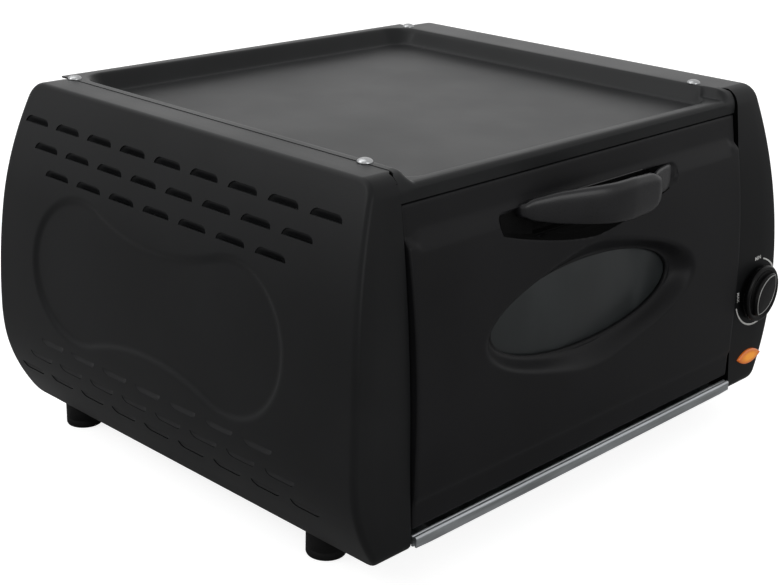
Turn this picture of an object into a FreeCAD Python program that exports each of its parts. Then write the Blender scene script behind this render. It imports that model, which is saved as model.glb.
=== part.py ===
"""Electric tandoor: a low countertop oven with a drop-down front door, a sunk warming
tray on top, louvred barrel-shaped side panels and a slide-out crumb tray.

Frame: +Z up, the feet stand on z = 0, the origin is at the middle of the footprint,
the door faces -Y and the controls are on the right (+X) as one faces the door.
All sizes are in millimetres.
"""
import FreeCAD, Part
import math
import os

Vec = FreeCAD.Vector
X_AXIS, Y_AXIS, Z_AXIS = Vec(1, 0, 0), Vec(0, 1, 0), Vec(0, 0, 1)

# ---- clearances and sheet -------------------------------------------------
sheet = 1.0                # pressed steel of the casing
liner_sheet = 0.8          # bright steel of the oven chamber
running_gap = 0.05         # radial, pins and shafts in their holes
slide_gap = 0.3            # between pieces that slide past each other
panel_gap = 1.7            # the door's side edges to the casing
seam_gap = 1.2             # tray rim to the side panels' top flanges
eps = 0.01

# ---- casing: the side panels are barrel shaped in front view ----------------
foot_height = 20.0
casing_height = 205.0      # side panels, bottom flange to top flange
body_depth = 320.5
half_width = 200.5         # at the widest height
top_narrowing = 20.0       # each side, from the widest height to the top
base_narrowing = 14.5
widest_rise = 64.0         # widest height above the panels' bottom
top_front_setback = 19.0   # how far the top leans back from the front plane
top_back_setback = 8.0
base_back_setback = 6.0
fold_radius = 6.0          # folded long edges of a side panel
top_corner_radius = 11.0
base_corner_radius = 9.0
flange_width = 45.0        # front and back flanges, at the widest height
base_flange_reach = 5.5    # bottom flange, inward of the front and back ones
ledge_drop = 0.5           # joggle of the top flange under the tray rim
ledge_reach = 8.0

# ---- what stands out of the casing ------------------------------------------
knob_reach = 8.5
rear_reach = 1.5

# ---- louvres and the peanut-shaped recess of a side panel ---------------------
louvre_pitch = 31.7
louvre_length = 23.3
louvre_height = 4.6
louvre_press = 3.2         # how far a louvre's tongue is pushed in
louvre_margin = 17.0       # longest row to the casing's front and back
louvre_first_offset = 53.0     # rows, measured from the middle height
louvre_row_pitch = 13.3
louvre_lift = 2.5          # pattern centre above the middle height
louvre_shift = 8.0             # pattern centre behind the middle of the depth
lobe_radius = 43.5
lobe_spacing = 136.0
waist_half = 31.0
recess_depth = 1.6

back_vent_margin = 10.0    # longest row to the back flanges
back_vent_drop = 40.0

# ---- top tray -----------------------------------------------------------------
tray_flange_lap = 3.5      # tray's side edges inward of the panels' inner edges
tray_rim_rise = 0.5        # rim above the side panels' flanges
tray_depth = 11.5
tray_rim_flat = 6.5
tray_wall_run = 7.0
tray_corner = 12.0
front_rim_drop = 6.0
front_rim_width = 12.0
lip_height = 16.0          # rim top to the lip's lower edge
lip_setback = 1.3          # lip face behind the side panels' front

# ---- frame behind the door and the oven chamber ----------------------------------
frame_back = 26.0          # front plane to the frame's face
chamber_inset = 15.5       # chamber walls inward of the side panels' inner edges
mouth_border = 8.0         # chamber walls to the mouth
mouth_low = 28.0           # above the panels' bottom
mouth_drop = 25.0          # below the top
roof_drop = 21.0
chamber_back_gap = 30.0    # behind the chamber, for the inlet and wires
rail_low = 13.5

# ---- door -----------------------------------------------------------------------
door_bottom_rise = 13.5
door_bend_drop = 37.0      # below the top
door_bottom_setback = 0.8
door_bend_setback = 11.4
band_setback = 16.0        # at the height of the lip's lower edge
lip_door_gap = 1.5
door_bend_radius = 18.0
door_depth = 24.0          # front plane to the back edges of the door skin
door_block_depth = 45.0
inner_panel_inset = 8.5    # inward of the side panels' inner edges
inner_panel_low = 20.0
inner_panel_drop = 22.0
hinge_ear_reach = 15.0     # inner panel's ears behind the hinge, clear of the frame as they turn
hinge_rise = 19.0
hinge_setback = 8.0
hinge_pin_radius = 2.5
hinge_bush_radius = 4.5
hinge_bush_length = 6.0
hinge_pin_length = 21.0
pin_free_end = 4.2         # pin beyond the door's edge
bush_lap = 0.8             # bush's flush end inward of the front return
bush_collar = 2.0

# ---- oval window -------------------------------------------------------------------
window_drop = 102.0        # centre below the top
window_half_length = 84.0
window_half_height = 25.5
dish_width = 17.0
dish_depth = 5.0
window_flange = 2.5
glass_lap = 6.0
glass_thickness = 3.0
retainer_lap = 8.0

# ---- handle and the recess behind it ----------------------------------------------------
handle_drop = 35.0         # middle of the bow below the top
handle_stand = 18.0        # the bow in front of the casing's front plane
bow_half_length = 67.0
grip_height = 20.0
grip_thickness = 8.0
grip_end_height = 9.0
grip_end_thickness = 6.0
handle_screw_pitch = 126.0
handle_screw_bite = 7.0
recess_below_bow = 10.0
recess_half_length = 86.0
recess_half_height = 16.5
recess_corner = 15.5
recess_sink = 4.5
recess_end_run = 21.0      # the long soft slopes at its ends
recess_edge_run = 3.0      # the short slopes above and below
slot_half_length = 51.0
slot_height = 18.0
slot_corner = 3.0
slot_below_bow = 9.0
cup_depth = 6.5
cup_lip = 1.0
cup_flange = 5.0
cup_fit = 0.1

# ---- crumb tray --------------------------------------------------------------------------
crumb_lip_low = 3.7        # above the panels' bottom
crumb_lip_high = 10.0
crumb_wall_high = 9.0
crumb_back_room = 10.5     # tray's end to the chamber's back wall, from the front plane
crumb_roll_radius = 1.5
crumb_side_gap = 0.5
crumb_lip_gap = 2.0        # lip's ends to the side panels
crumb_lip_forward = 1.2
crumb_setback = 2.2        # tray's front wall behind the front plane

# ---- controls ------------------------------------------------------------------------------
control_inset = 24.5       # knob's axis to the flange's inner edge
knob_rise = 67.0
skirt_radius = 19.7
skirt_thickness = 4.4
skirt_rim_radius = 2.5
knob_gap = 0.6
knob_recess_depth = 3.2    # behind the knob, over the thermostat's nut
knob_recess_radius = 8.0
blade_half_length = 15.0
blade_half_width = 7.5
blade_draft = 2.2
blade_angle = 29.0         # pointer, clockwise from the top as one faces it
shaft_radius = 3.0
shaft_flat = 1.0
bushing_radius = 4.8
bushing_seat = 4.0         # shoulder round the bushing, behind the sheet
bushing_past_nut = 0.4
nut_thickness = 2.0
nut_wall = 2.0
shaft_cover = 2.0          # knob's face in front of the shaft's end
shaft_depth = 19.0
thermostat_width = 29.0
thermostat_shift = 0.5     # body's middle inward of its shaft
thermostat_height = 32.0
thermostat_depth = 26.0
thermostat_room = 3.0      # body's face behind the sheet
lamp_rise = 21.0
lamp_inset = 23.0          # lamp's centre to the flange's inner edge
lamp_half_length = 14.0
lamp_half_height = 4.7
lens_rise = 1.6
lens_fit = 0.1
lens_rim_x = 2.0
lens_rim_z = 1.5
lamp_barrel_radius = 5.0
lamp_barrel_length = 24.0
lamp_plate_half_x = 8.0
lamp_plate_half_z = 6.0
lamp_plate = 2.0

# ---- heaters and rack ---------------------------------------------------------------------
heater_radius = 3.3
heater_overhang = 16.0     # beyond the chamber walls
stud_length = 8.0
stud_radius = 2.0
heater_spread = 110.0      # front rod to back rod
upper_heater_drop = 35.0
lower_heater_rise = 32.0
insulator_radius = 8.0
insulator_length = 8.0
insulator_shoulder = 2.0
runner_width = 9.0
runner_sheet = 1.2
runner_front_room = 10.0
runner_back_room = 5.0
rack_rise = 72.0
rack_wire = 1.6
rack_clear = 2.5
rack_bars = 13
rack_end_room = 28.5       # both ends together, in the chamber's depth
rack_front_room = 14.0

# ---- screws -----------------------------------------------------------------------------------
top_screw_inset = 2.0      # inward of the tray's side edges
top_screw_front = 47.0     # behind the front plane
top_screw_back = 20.0      # before the back plane
screw_radius = 1.9
head_radius = 4.3
head_height = 2.2
small_head_radius = 3.4
small_head_height = 1.6
small_screw_radius = 1.5
small_screw_length = 6.0
top_screw_length = 7.0
cross_length = 4.8
cross_width = 0.8
cross_floor = 1.0          # bottom of the cross above the screw's seat
back_screw_offset = 6.0    # outward of the flanges' inner edges
back_screw_low = 30.0
back_screw_high = 35.0

# ---- feet ---------------------------------------------------------------------------------------
foot_radius = 11.6
foot_offset = 6.5          # feet outward of the flanges' inner edges
foot_front = 58.5
foot_back = 31.5
foot_screw_seat = 10.0     # below the foot's top
foot_screw_room = 1.5
foot_rim_radius = 1.0
foot_screw_past = 3.0      # foot screw's end above the base pan

# ---- inlet -----------------------------------------------------------------------------------------
inlet_inset = 37.5         # inlet's centre to the flange's inner edge
inlet_rise = 42.0
inlet_width = 27.0
inlet_height = 20.0
inlet_body_depth = 22.0
inlet_flange = 6.0
inlet_flange_thickness = 1.5
inlet_wall = 2.0
inlet_socket_depth = 16.0
inlet_blade_pitch = 7.0
inlet_screw_pitch = 40.0
inlet_fit = 0.2            # body in the panel's cut-out, each side
inlet_rim = 2.0
blade_half_thick = 1.0
blade_half_deep = 2.0
blade_setback = 1.0        # blades' tips behind the inlet's face
earth_lift = 2.0

terminal_ways = 3
terminal_pitch = 12.0
terminal_height = 14.0
terminal_side_room = 8.0
terminal_setback = 40.0    # behind the middle of the depth

back_panel_lap = 12.0      # back panel behind the back flanges
vent_pair_pitch = 13.3

# ---- derived widths -----------------------------------------------------------------------------------
top_half_width = half_width - top_narrowing
base_half_width = half_width - base_narrowing
opening_half = half_width - flange_width      # inner edges of the front and back flanges
base_flange_edge = opening_half - base_flange_reach
ledge_edge = opening_half - ledge_reach
tray_half = opening_half - tray_flange_lap
chamber_half = opening_half - chamber_inset
mouth_half = chamber_half - mouth_border
inner_panel_half = opening_half - inner_panel_inset
door_edge = opening_half - panel_gap
crumb_half = chamber_half - liner_sheet - crumb_side_gap
control_x = opening_half + control_inset
lamp_x = opening_half + lamp_inset
top_screw_x = tray_half - top_screw_inset
foot_x = opening_half + foot_offset
inlet_x = opening_half - inlet_inset

# ---- derived heights and depths, rises above the panels' bottom ------------------------------------------
door_bend_rise = casing_height - door_bend_drop
mouth_high = casing_height - mouth_drop
chamber_roof_rise = casing_height - roof_drop
inner_panel_high = casing_height - inner_panel_drop
window_rise = casing_height - window_drop
handle_rise = casing_height - handle_drop
recess_rise = handle_rise - recess_below_bow
slot_rise = handle_rise - slot_below_bow
upper_heater_rise = casing_height - upper_heater_drop
louvre_mid_rise = casing_height / 2 + louvre_lift
chamber_depth = body_depth - frame_back - chamber_back_gap
rack_depth = chamber_depth - rack_end_room
crumb_length = body_depth - chamber_back_gap - crumb_back_room
longest_louvre_row = int((body_depth - 2 * louvre_margin) / louvre_pitch)
louvre_counts = tuple(longest_louvre_row - fewer for fewer in (2, 1, 0))
back_vent_pairs = int((opening_half - back_vent_margin - louvre_length / 2) / louvre_pitch)
back_vent_count = 2 * back_vent_pairs + 1

# ---- derived places -----------------------------------------------------------------------------------
front_y = -(body_depth + handle_stand + rear_reach) / 2 + handle_stand
back_y = front_y + body_depth
mid_y = (front_y + back_y) / 2
base_z = foot_height
top_z = foot_height + casing_height
widest_z = base_z + widest_rise
frame_y = front_y + frame_back
chamber_back_y = back_y - chamber_back_gap
roof_z = base_z + chamber_roof_rise
rim_z = top_z + tray_rim_rise
lip_z = rim_z - lip_height
floor_z = rim_z - tray_depth
deck_z = base_z + 2 * sheet           # top of the base pan, which lies on the flanges
hinge_y = front_y + hinge_setback
hinge_z = base_z + hinge_rise


# ---- helpers ---------------------------------------------------------------------------------------------
def box(x0, x1, y0, y1, z0, z1):
    """A box between two corners."""
    return Part.makeBox(x1 - x0, y1 - y0, z1 - z0, Vec(x0, y0, z0))


def rod(start, end, radius):
    """A round rod from one point to another."""
    axis = end - start
    return Part.makeCylinder(radius, axis.Length, start, axis)


def tube(start, end, outer, inner):
    """A round tube from one point to another."""
    return rod(start, end, outer).cut(rod(start, end, inner))


def cut_all(shape, tools):
    """The shape with every tool cut out of it in one go."""
    tools = list(tools)
    return shape.cut(tools) if tools else shape


def join(shapes):
    """Overlapping shapes fused to one and cleaned of inner seams."""
    return shapes[0].fuse(list(shapes[1:])).removeSplitter()


def mirrored(shape):
    """The same piece on the other side of the oven."""
    return shape.mirror(Vec(0, 0, 0), X_AXIS)


def solid_of(shape):
    """The largest solid of a shape."""
    return max(shape.Solids, key=lambda s: s.Volume)


def polygon_face(points):
    """A flat face with straight edges through the points."""
    return Part.Face(Part.makePolygon(list(points) + [points[0]]))


def ellipse_face(half_x, half_z, y=0.0):
    """An upright ellipse in the plane of that y."""
    curve = Part.Ellipse(Vec(half_x, y, 0), Vec(0, y, half_z), Vec(0, y, 0))
    return Part.Face(Part.Wire(curve.toShape()))


def ellipse_prism(half_x, half_z, y0, y1):
    """An elliptic cylinder along +Y."""
    return ellipse_face(half_x, half_z, y0).extrude(Vec(0, y1 - y0, 0))


def ellipse_frustum(half_x0, half_z0, y0, half_x1, half_z1, y1):
    """A cone-like solid between two upright ellipses."""
    ends = [ellipse_face(half_x0, half_z0, y0).OuterWire, ellipse_face(half_x1, half_z1, y1).OuterWire]
    return Part.makeLoft(ends, True, True)


def arc_radius(rise, sag):
    """Radius of an arc that starts square and gives way by sag over rise."""
    return (rise * rise + sag * sag) / (2 * sag)


def arc_sag(radius, rise):
    """How far such an arc has given way after some rise."""
    return radius - math.sqrt(radius * radius - rise * rise)


def front_setback(z):
    """Front flange behind the front plane at a height."""
    rise = max(0.0, z - widest_z)
    return arc_sag(arc_radius(top_z - widest_z, top_front_setback), rise)


# ---- casing outline ------------------------------------------------------------------------------------------
def barrel_face(inset, inner_edge, low, high):
    """Front view of a right-hand side panel, its outer curve set in by inset."""
    upper = arc_radius(top_z - widest_z, half_width - top_half_width)
    lower = arc_radius(widest_z - base_z, half_width - base_half_width)

    def at(z):
        rise = z - widest_z
        radius = upper if rise > 0 else lower
        offset_radius = radius - inset
        return half_width - radius + math.sqrt(offset_radius ** 2 - rise ** 2)

    mid_low = (low + widest_z) / 2
    mid_high = (high + widest_z) / 2
    bottom = Vec(at(low), 0, low)
    widest = Vec(half_width - inset, 0, widest_z)
    top = Vec(at(high), 0, high)
    edges = [Part.makeLine(Vec(inner_edge, 0, low), bottom),
             Part.Arc(bottom, Vec(at(mid_low), 0, mid_low), widest).toShape(),
             Part.Arc(widest, Vec(at(mid_high), 0, mid_high), top).toShape(),
             Part.makeLine(top, Vec(inner_edge, 0, high)),
             Part.makeLine(Vec(inner_edge, 0, high), Vec(inner_edge, 0, low))]
    return Part.Face(Part.Wire(edges))


def side_view_face(inset, low, high):
    """Side view of the casing, set in by inset, square at its corners."""
    front_r = arc_radius(top_z - widest_z, top_front_setback) - inset
    back_r = arc_radius(top_z - widest_z, top_back_setback) - inset
    base_r = arc_radius(widest_z - base_z, base_back_setback) - inset

    def front(z):
        return front_y + inset + arc_sag(front_r, max(0.0, z - widest_z))

    def back(z):
        radius = back_r if z > widest_z else base_r
        return back_y - inset - arc_sag(radius, abs(z - widest_z))

    mid_low = (low + widest_z) / 2
    mid_high = (high + widest_z) / 2
    front_low, front_mid, front_high = (Vec(0, front(z), z) for z in (low, widest_z, high))
    back_low, back_mid, back_high = (Vec(0, back(z), z) for z in (low, widest_z, high))
    edges = [Part.makeLine(front_low, front_mid),
             Part.Arc(front_mid, Vec(0, front(mid_high), mid_high), front_high).toShape(),
             Part.makeLine(front_high, back_high),
             Part.Arc(back_high, Vec(0, back(mid_high), mid_high), back_mid).toShape(),
             Part.Arc(back_mid, Vec(0, back(mid_low), mid_low), back_low).toShape(),
             Part.makeLine(back_low, front_low)]
    return Part.Face(Part.Wire(edges))


def side_view_block(inset, x0, x1):
    """The side view carried along X, with its four corners rounded."""
    low, high = base_z + inset, top_z - inset
    block = side_view_face(inset, low, high).extrude(Vec(x1 - x0, 0, 0))
    block.translate(Vec(x0, 0, 0))
    for radius, z in ((top_corner_radius, high), (base_corner_radius, low)):
        edges = [e for e in block.Edges if is_corner_edge(e, x1 - x0, z)]
        block = block.makeFillet(radius - inset, edges)
    return block


def is_corner_edge(edge, length, z):
    """True for a straight edge along X of that length at that height."""
    box_of = edge.BoundBox
    return abs(box_of.XLength - length) < eps and abs(box_of.ZMax - z) < eps and box_of.ZLength < eps


def side_block(inset, inner_edge):
    """Solid right-hand side of the casing, its outer folds rounded."""
    low, high = base_z + inset, top_z - inset
    barrel = barrel_face(inset, inner_edge, low, high).extrude(Vec(0, body_depth + 2, 0))
    barrel.translate(Vec(0, front_y - 1, 0))
    block = solid_of(barrel.common(side_view_block(inset, inner_edge - 1, half_width + 1)))
    edges = [e for e in block.Edges if is_outer_fold(e, inner_edge)]
    return block.makeFillet(fold_radius - inset, edges)


def barrel_block(inset, inner_edge):
    """The barrel's profile run past both ends, for the floor of the recess, which lies clear of the folds."""
    face = barrel_face(inset, inner_edge, base_z + inset, top_z - inset)
    block = face.extrude(Vec(0, body_depth + 2, 0))
    block.translate(Vec(0, front_y - 1, 0))
    return block


def is_outer_fold(edge, inner_edge):
    """True for an edge of the barrel face's rim: far out and not along X or within the face."""
    ends = edge.BoundBox
    far_out = ends.XMin > top_half_width - 3 * fold_radius
    across = ends.XLength > (ends.YLength + ends.ZLength)
    within = ends.YLength > body_depth / 2 and abs(ends.ZMin - widest_z) < 1 and ends.ZLength < 1
    return far_out and not across and not within


# ---- side panels ---------------------------------------------------------------------------------------------------
def peanut_face(grow):
    """Outline of the pressed recess in side view: two lobes and a narrow waist."""
    lobe = lobe_radius + grow
    half = lobe_spacing / 2
    waist = waist_half + grow
    waist_radius = (half ** 2 + waist ** 2 - lobe ** 2) / (2 * (lobe - waist))
    waist_z = waist + waist_radius
    along = half * waist_radius / (lobe + waist_radius)
    up = waist_z * lobe / (lobe + waist_radius)
    edges = []
    for turn in (1, -1):
        left = Vec(0, turn * -along, turn * up)
        right = Vec(0, turn * along, turn * up)
        edges.append(Part.Arc(left, Vec(0, 0, turn * waist), right).toShape())
        far = Vec(0, turn * (half + lobe), 0)
        edges.append(Part.Arc(right, far, Vec(0, turn * along, -turn * up)).toShape())
    face = Part.Face(Part.Wire(Part.__sortEdges__(edges)))
    face.translate(Vec(0, louvre_y(), louvre_z()))
    return face


def louvre_y():
    """Middle of the louvre pattern along the depth."""
    return mid_y + louvre_shift


def louvre_z():
    """Middle height of the louvre pattern."""
    return base_z + louvre_mid_rise


def with_recess(block, inner_block, grow):
    """A block whose outer face is sunk to the inner block's inside the peanut."""
    prism = peanut_face(grow).extrude(Vec(half_width, 0, 0))
    prism.translate(Vec(opening_half + 5, 0, 0))
    return block.cut(prism.common(block.cut(inner_block)))


def louvre_rows():
    """Height, count and facing (+1 cut below, -1 cut above) of every louvre row."""
    for facing in (1, -1):
        for row, count in enumerate(louvre_counts):
            offset = louvre_first_offset + row * louvre_row_pitch
            yield louvre_z() + facing * offset, count, facing


def louvre_outline(facing):
    """A D-shaped face in side view: straight edge at z = 0, curved side towards facing."""
    half = louvre_length / 2
    shoulder = 0.55 * louvre_height * facing
    edges = [Part.makeLine(Vec(0, -half, 0), Vec(0, half, 0)),
             Part.Arc(Vec(0, half, 0), Vec(0, 0.86 * half, shoulder),
                      Vec(0, 0.6 * half, louvre_height * facing)).toShape(),
             Part.makeLine(Vec(0, 0.6 * half, louvre_height * facing),
                           Vec(0, -0.6 * half, louvre_height * facing)),
             Part.Arc(Vec(0, -0.6 * half, louvre_height * facing),
                      Vec(0, -0.86 * half, shoulder), Vec(0, -half, 0)).toShape()]
    return Part.Face(Part.Wire(edges))


def barrel_x(z, inset):
    """Outer half-width of the casing at a height, set in by inset."""
    rise = z - widest_z
    sag = half_width - (top_half_width if rise > 0 else base_half_width)
    radius = arc_radius((top_z - widest_z) if rise > 0 else (widest_z - base_z), sag)
    return half_width - radius + math.sqrt((radius - inset) ** 2 - rise ** 2)


def louvre_tools():
    """Cutters for all slots, and the pressed-in tongues that hang behind them."""
    slots, tongues = [], []
    for row_z, count, facing in louvre_rows():
        for place in range(count):
            y = louvre_y() + (place - (count - 1) / 2) * louvre_pitch
            low_z = row_z - facing * louvre_height / 2
            hinge_line = row_z + facing * louvre_height / 2
            slot = louvre_outline(facing).extrude(Vec(3 * fold_radius, 0, 0))
            slot.translate(Vec(barrel_x(row_z, 0) - 2 * fold_radius, y, low_z))
            slots.append(slot)
            tongue = louvre_outline(facing).extrude(Vec(liner_sheet, 0, 0))
            tongue.translate(Vec(0, 0, -louvre_height * facing))
            lean = math.degrees(math.atan2(louvre_press, louvre_height))
            tongue.rotate(Vec(0, 0, 0), Y_AXIS, facing * lean)
            tongue.translate(Vec(barrel_x(hinge_line, sheet), y, hinge_line))
            tongues.append(tongue)
    return slots, tongues


def side_panel_blank():
    """Right-hand panel before its own cut-outs: pan, flanges, recess, louvres and screw holes."""
    outer = with_recess(side_block(0, opening_half), barrel_block(recess_depth, opening_half - 3), 0)
    inner = with_recess(side_block(sheet, opening_half - 2),
                        barrel_block(sheet + recess_depth, opening_half - 5), sheet)
    pan = solid_of(outer.cut(inner))
    flange = box(base_flange_edge, opening_half + sheet, front_y + base_corner_radius,
                 back_y - 2 * base_corner_radius, base_z, base_z + sheet)
    ledge_top = top_z - ledge_drop
    ledge = box(ledge_edge, tray_half + seam_gap + sheet, tray_front() + top_corner_radius + 4 * sheet,
                tray_back() - 2 * sheet, ledge_top - sheet, ledge_top)
    top_flange = box(tray_half + seam_gap, opening_half + sheet, tray_front() + top_corner_radius,
                     tray_back() - 2 * sheet, ledge_top - sheet, top_z)
    slots, tongues = louvre_tools()
    panel = join([pan, flange, top_flange, ledge, front_return()])
    panel = cut_all(panel, slots + panel_screw_holes() + [hinge_bush_hole()])
    panel = panel.fuse(tongues)
    return solid_of(panel)


def front_return():
    """Strip folded back from the front flange, from its face to the frame."""
    strip = side_view_block(0, opening_half, opening_half + sheet)
    return strip.common(box(opening_half - 1, opening_half + 2 * sheet, front_y - 1, frame_y,
                            deck_z, lip_z - lip_door_gap))


def hinge_bush_hole():
    """Hole in the front return for the hinge bush."""
    return rod(Vec(opening_half - sheet, hinge_y, hinge_z),
               Vec(opening_half + 2 * sheet, hinge_y, hinge_z), hinge_bush_radius)


def top_screw_places():
    """Front and back top screws of the right-hand side."""
    return [(top_screw_x, front_y + top_screw_front), (top_screw_x, back_y - top_screw_back)]


def foot_places():
    """Front and back feet of the right-hand side."""
    return [(foot_x, front_y + foot_front), (foot_x, back_y - foot_back)]


def back_screw_heights():
    """Heights of the screws along one edge of the back panel."""
    return [base_z + back_screw_low, base_z + casing_height / 2, top_z - back_screw_high]


def back_screw_x():
    """Distance of the back screws from the middle."""
    return opening_half + back_screw_offset


def back_face_y(z, inset):
    """Y of the casing's back at a height, set in by inset."""
    rise = z - widest_z
    sag = top_back_setback if rise > 0 else base_back_setback
    span = (top_z - widest_z) if rise > 0 else (widest_z - base_z)
    return back_y - inset - arc_sag(arc_radius(span, sag) - inset, abs(rise))


def on_back(shape, x, z, inset):
    """Place a shape drawn about the origin (y outward) square on the curved back."""
    rise = z - widest_z
    sag = top_back_setback if rise > 0 else base_back_setback
    span = (top_z - widest_z) if rise > 0 else (widest_z - base_z)
    placed = shape.copy()
    placed.rotate(Vec(0, 0, 0), X_AXIS, math.degrees(math.asin(rise / arc_radius(span, sag))))
    placed.translate(Vec(x, back_face_y(z, inset), z))
    return placed


def back_screw_hole(x, z):
    """Cutter for one screw through the back panel and the flange over it."""
    return on_back(rod(Y_AXIS * -4 * sheet, Y_AXIS * sheet, small_screw_radius), x, z, 0)


def panel_screw_holes():
    """Threaded holes of the right-hand panel for the tray, base and back screws."""
    tools = [rod(Vec(x, y, top_z - 4 * sheet), Vec(x, y, top_z + sheet), screw_radius)
             for x, y in top_screw_places()]
    tools += [rod(Vec(x, y, base_z - sheet), Vec(x, y, base_z + 2 * sheet), screw_radius)
              for x, y in foot_places()]
    tools += [back_screw_hole(back_screw_x(), z) for z in back_screw_heights()]
    return tools


def left_side_panel():
    """Plain side panel on the left."""
    return mirrored(side_panel_blank())


def right_side_panel():
    """Side panel on the right, with the holes for the thermostat bushing and the lamp lens."""
    knob_z = base_z + knob_rise
    bushing = rod(Vec(control_x, front_y - 1, knob_z), Vec(control_x, front_y + 3 * sheet, knob_z),
                  bushing_radius)
    lens = leaf_prism(lamp_half_length, lamp_half_height, front_y - 1, front_y + 3 * sheet)
    return solid_of(side_panel_blank().cut([bushing, lens]))


# ---- top tray --------------------------------------------------------------------------------------------------------
def tray_front():
    """Y of the tray's front lip."""
    return front_y + top_front_setback - lip_setback


def tray_back():
    """Y of the tray's back edge."""
    return back_y - top_back_setback - sheet


def rounded_rectangle(half_x, y0, y1, z, radius):
    """A flat wire with rounded corners."""
    plate = box(-half_x, half_x, y0, y1, z, z + 1)
    corners = [e for e in plate.Edges if abs(e.BoundBox.ZLength - 1) < eps]
    plate = plate.makeFillet(radius, corners)
    return min(plate.Faces, key=lambda f: f.CenterOfMass.z).OuterWire


def tray_well(inset):
    """The sunk middle of the tray as a solid, with sloping walls."""
    slope = tray_wall_run / tray_depth
    grow = inset * (math.sqrt(1 + slope ** 2) - slope)
    top_z_here, low_z = rim_z + 1, floor_z - inset
    half_low = tray_half - tray_rim_flat - tray_wall_run + grow
    y_low = tray_front() + front_rim_width - grow
    y_back = tray_back() - tray_rim_flat - tray_wall_run + grow
    spread = slope * (top_z_here - low_z)
    low = rounded_rectangle(half_low, y_low, y_back, low_z, tray_corner)
    high = rounded_rectangle(half_low + spread, y_low - spread, y_back + spread, top_z_here,
                             tray_corner + spread)
    return Part.makeLoft([low, high], True, True)


def tray_notch(inset):
    """The lower front rim as a cutter between the two side rims."""
    slope = tray_wall_run / tray_depth
    grow = inset * (math.sqrt(1 + slope ** 2) - slope)
    low_z, high_z = rim_z - front_rim_drop - inset, rim_z + 1
    half_high = tray_half - tray_rim_flat + grow + slope
    half_low = half_high - slope * (high_z - low_z)
    y0 = tray_front() - 5
    face = polygon_face([Vec(-half_low, y0, low_z), Vec(half_low, y0, low_z),
                         Vec(half_high, y0, high_z), Vec(-half_high, y0, high_z)])
    return face.extrude(Vec(0, front_rim_width + 5 + tray_wall_run, 0))


def tray_envelope(inset, reach):
    """The tray's outer block with its front edge rolled over."""
    block = box(-tray_half - reach, tray_half + reach, tray_front() + inset, tray_back() + reach,
                lip_z - reach, rim_z - inset)
    edge = [e for e in block.Edges if abs(e.BoundBox.YMax - tray_front() - inset) < eps
            and abs(e.BoundBox.ZMin - rim_z + inset) < eps]
    return block.makeFillet(top_corner_radius - inset, edge)


def top_tray():
    """Pressed warming tray: rim on three sides, a lower front rim and a lip over the door."""
    upper = tray_envelope(0, 0).cut([tray_well(0), tray_notch(0)])
    under = tray_envelope(sheet, sheet).cut([tray_well(sheet), tray_notch(sheet)])
    tray = upper.cut(under)
    holes = [rod(Vec(side * x, y, rim_z - 3 * sheet), Vec(side * x, y, rim_z + sheet),
                 screw_radius + running_gap) for x, y in top_screw_places() for side in (1, -1)]
    return solid_of(tray.cut(holes))


# ---- back, base and frame ------------------------------------------------------------------------------------------------
def back_panel():
    """Curved sheet inside the back flanges, with vent slots and the inlet's cut-out."""
    half = opening_half + back_panel_lap
    slab = side_view_block(sheet, -half, half).cut(side_view_block(2 * sheet, -half - 1, half + 1))
    sheet_back = solid_of(slab.common(box(-half - 1, half + 1, mid_y, back_y,
                                          deck_z, top_z - top_corner_radius)))
    tools = [inlet_cutter()]
    for column in range(back_vent_count):
        x = (column - (back_vent_count - 1) / 2) * louvre_pitch
        for z in (top_z - back_vent_drop, top_z - back_vent_drop - vent_pair_pitch):
            tools.append(box(x - louvre_length / 2, x + louvre_length / 2, chamber_back_y, back_y,
                             z, z + louvre_height))
    for side in (1, -1):
        tools += [back_screw_hole(side * back_screw_x(), z) for z in back_screw_heights()]
    return solid_of(sheet_back.cut(tools))


def inlet_cutter():
    """Cutter for the inlet's body and its two screws."""
    body = box(-inlet_width / 2, inlet_width / 2, -5, 5, -inlet_height / 2, inlet_height / 2)
    holes = [rod(Vec(side * inlet_screw_pitch / 2, -5, 0), Vec(side * inlet_screw_pitch / 2, 5, 0),
                 small_screw_radius) for side in (1, -1)]
    return on_back(body.fuse(holes), inlet_x, base_z + inlet_rise, sheet)


def base_pan():
    """Bottom plate on the side panels' flanges, with vent slots and screw holes."""
    half = foot_x + foot_radius
    plate = box(-half, half, front_y + base_corner_radius,
                back_face_y(base_z, 0) - base_corner_radius, base_z + sheet, deck_z)
    tools = [rod(Vec(side * x, y, base_z), Vec(side * x, y, deck_z + 1), screw_radius)
             for x, y in foot_places() for side in (1, -1)]
    return solid_of(plate.cut(tools))


def front_frame():
    """Upright plate behind the door with the chamber's mouth and the crumb tray's opening."""
    plate = box(-opening_half, opening_half, frame_y, frame_y + sheet, deck_z, floor_z - sheet)
    mouth = box(-mouth_half, mouth_half, frame_y - 1, frame_y + 2 * sheet,
                base_z + mouth_low, base_z + mouth_high)
    below = box(-chamber_half + liner_sheet, chamber_half - liner_sheet, frame_y - 1,
                frame_y + 2 * sheet, deck_z - 1, base_z + rail_low)
    return plate.cut([mouth, below])


# ---- oven chamber ---------------------------------------------------------------------------------------------------------
def heater_ys():
    """Front and back heater rods along the depth."""
    middle = (frame_y + chamber_back_y) / 2
    return [middle - heater_spread / 2, middle + heater_spread / 2]


def heater_heights():
    """Lower and upper heater rods."""
    return [base_z + lower_heater_rise, base_z + upper_heater_rise]


def right_liner():
    """Right wall of the chamber with round holes for the heater insulators."""
    wall = box(chamber_half - liner_sheet, chamber_half, frame_y + sheet, chamber_back_y,
               deck_z, roof_z)
    holes = [rod(Vec(chamber_half - 5, y, z), Vec(chamber_half + 5, y, z), insulator_radius - insulator_shoulder)
             for y in heater_ys() for z in heater_heights()]
    return wall.cut(holes)


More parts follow.
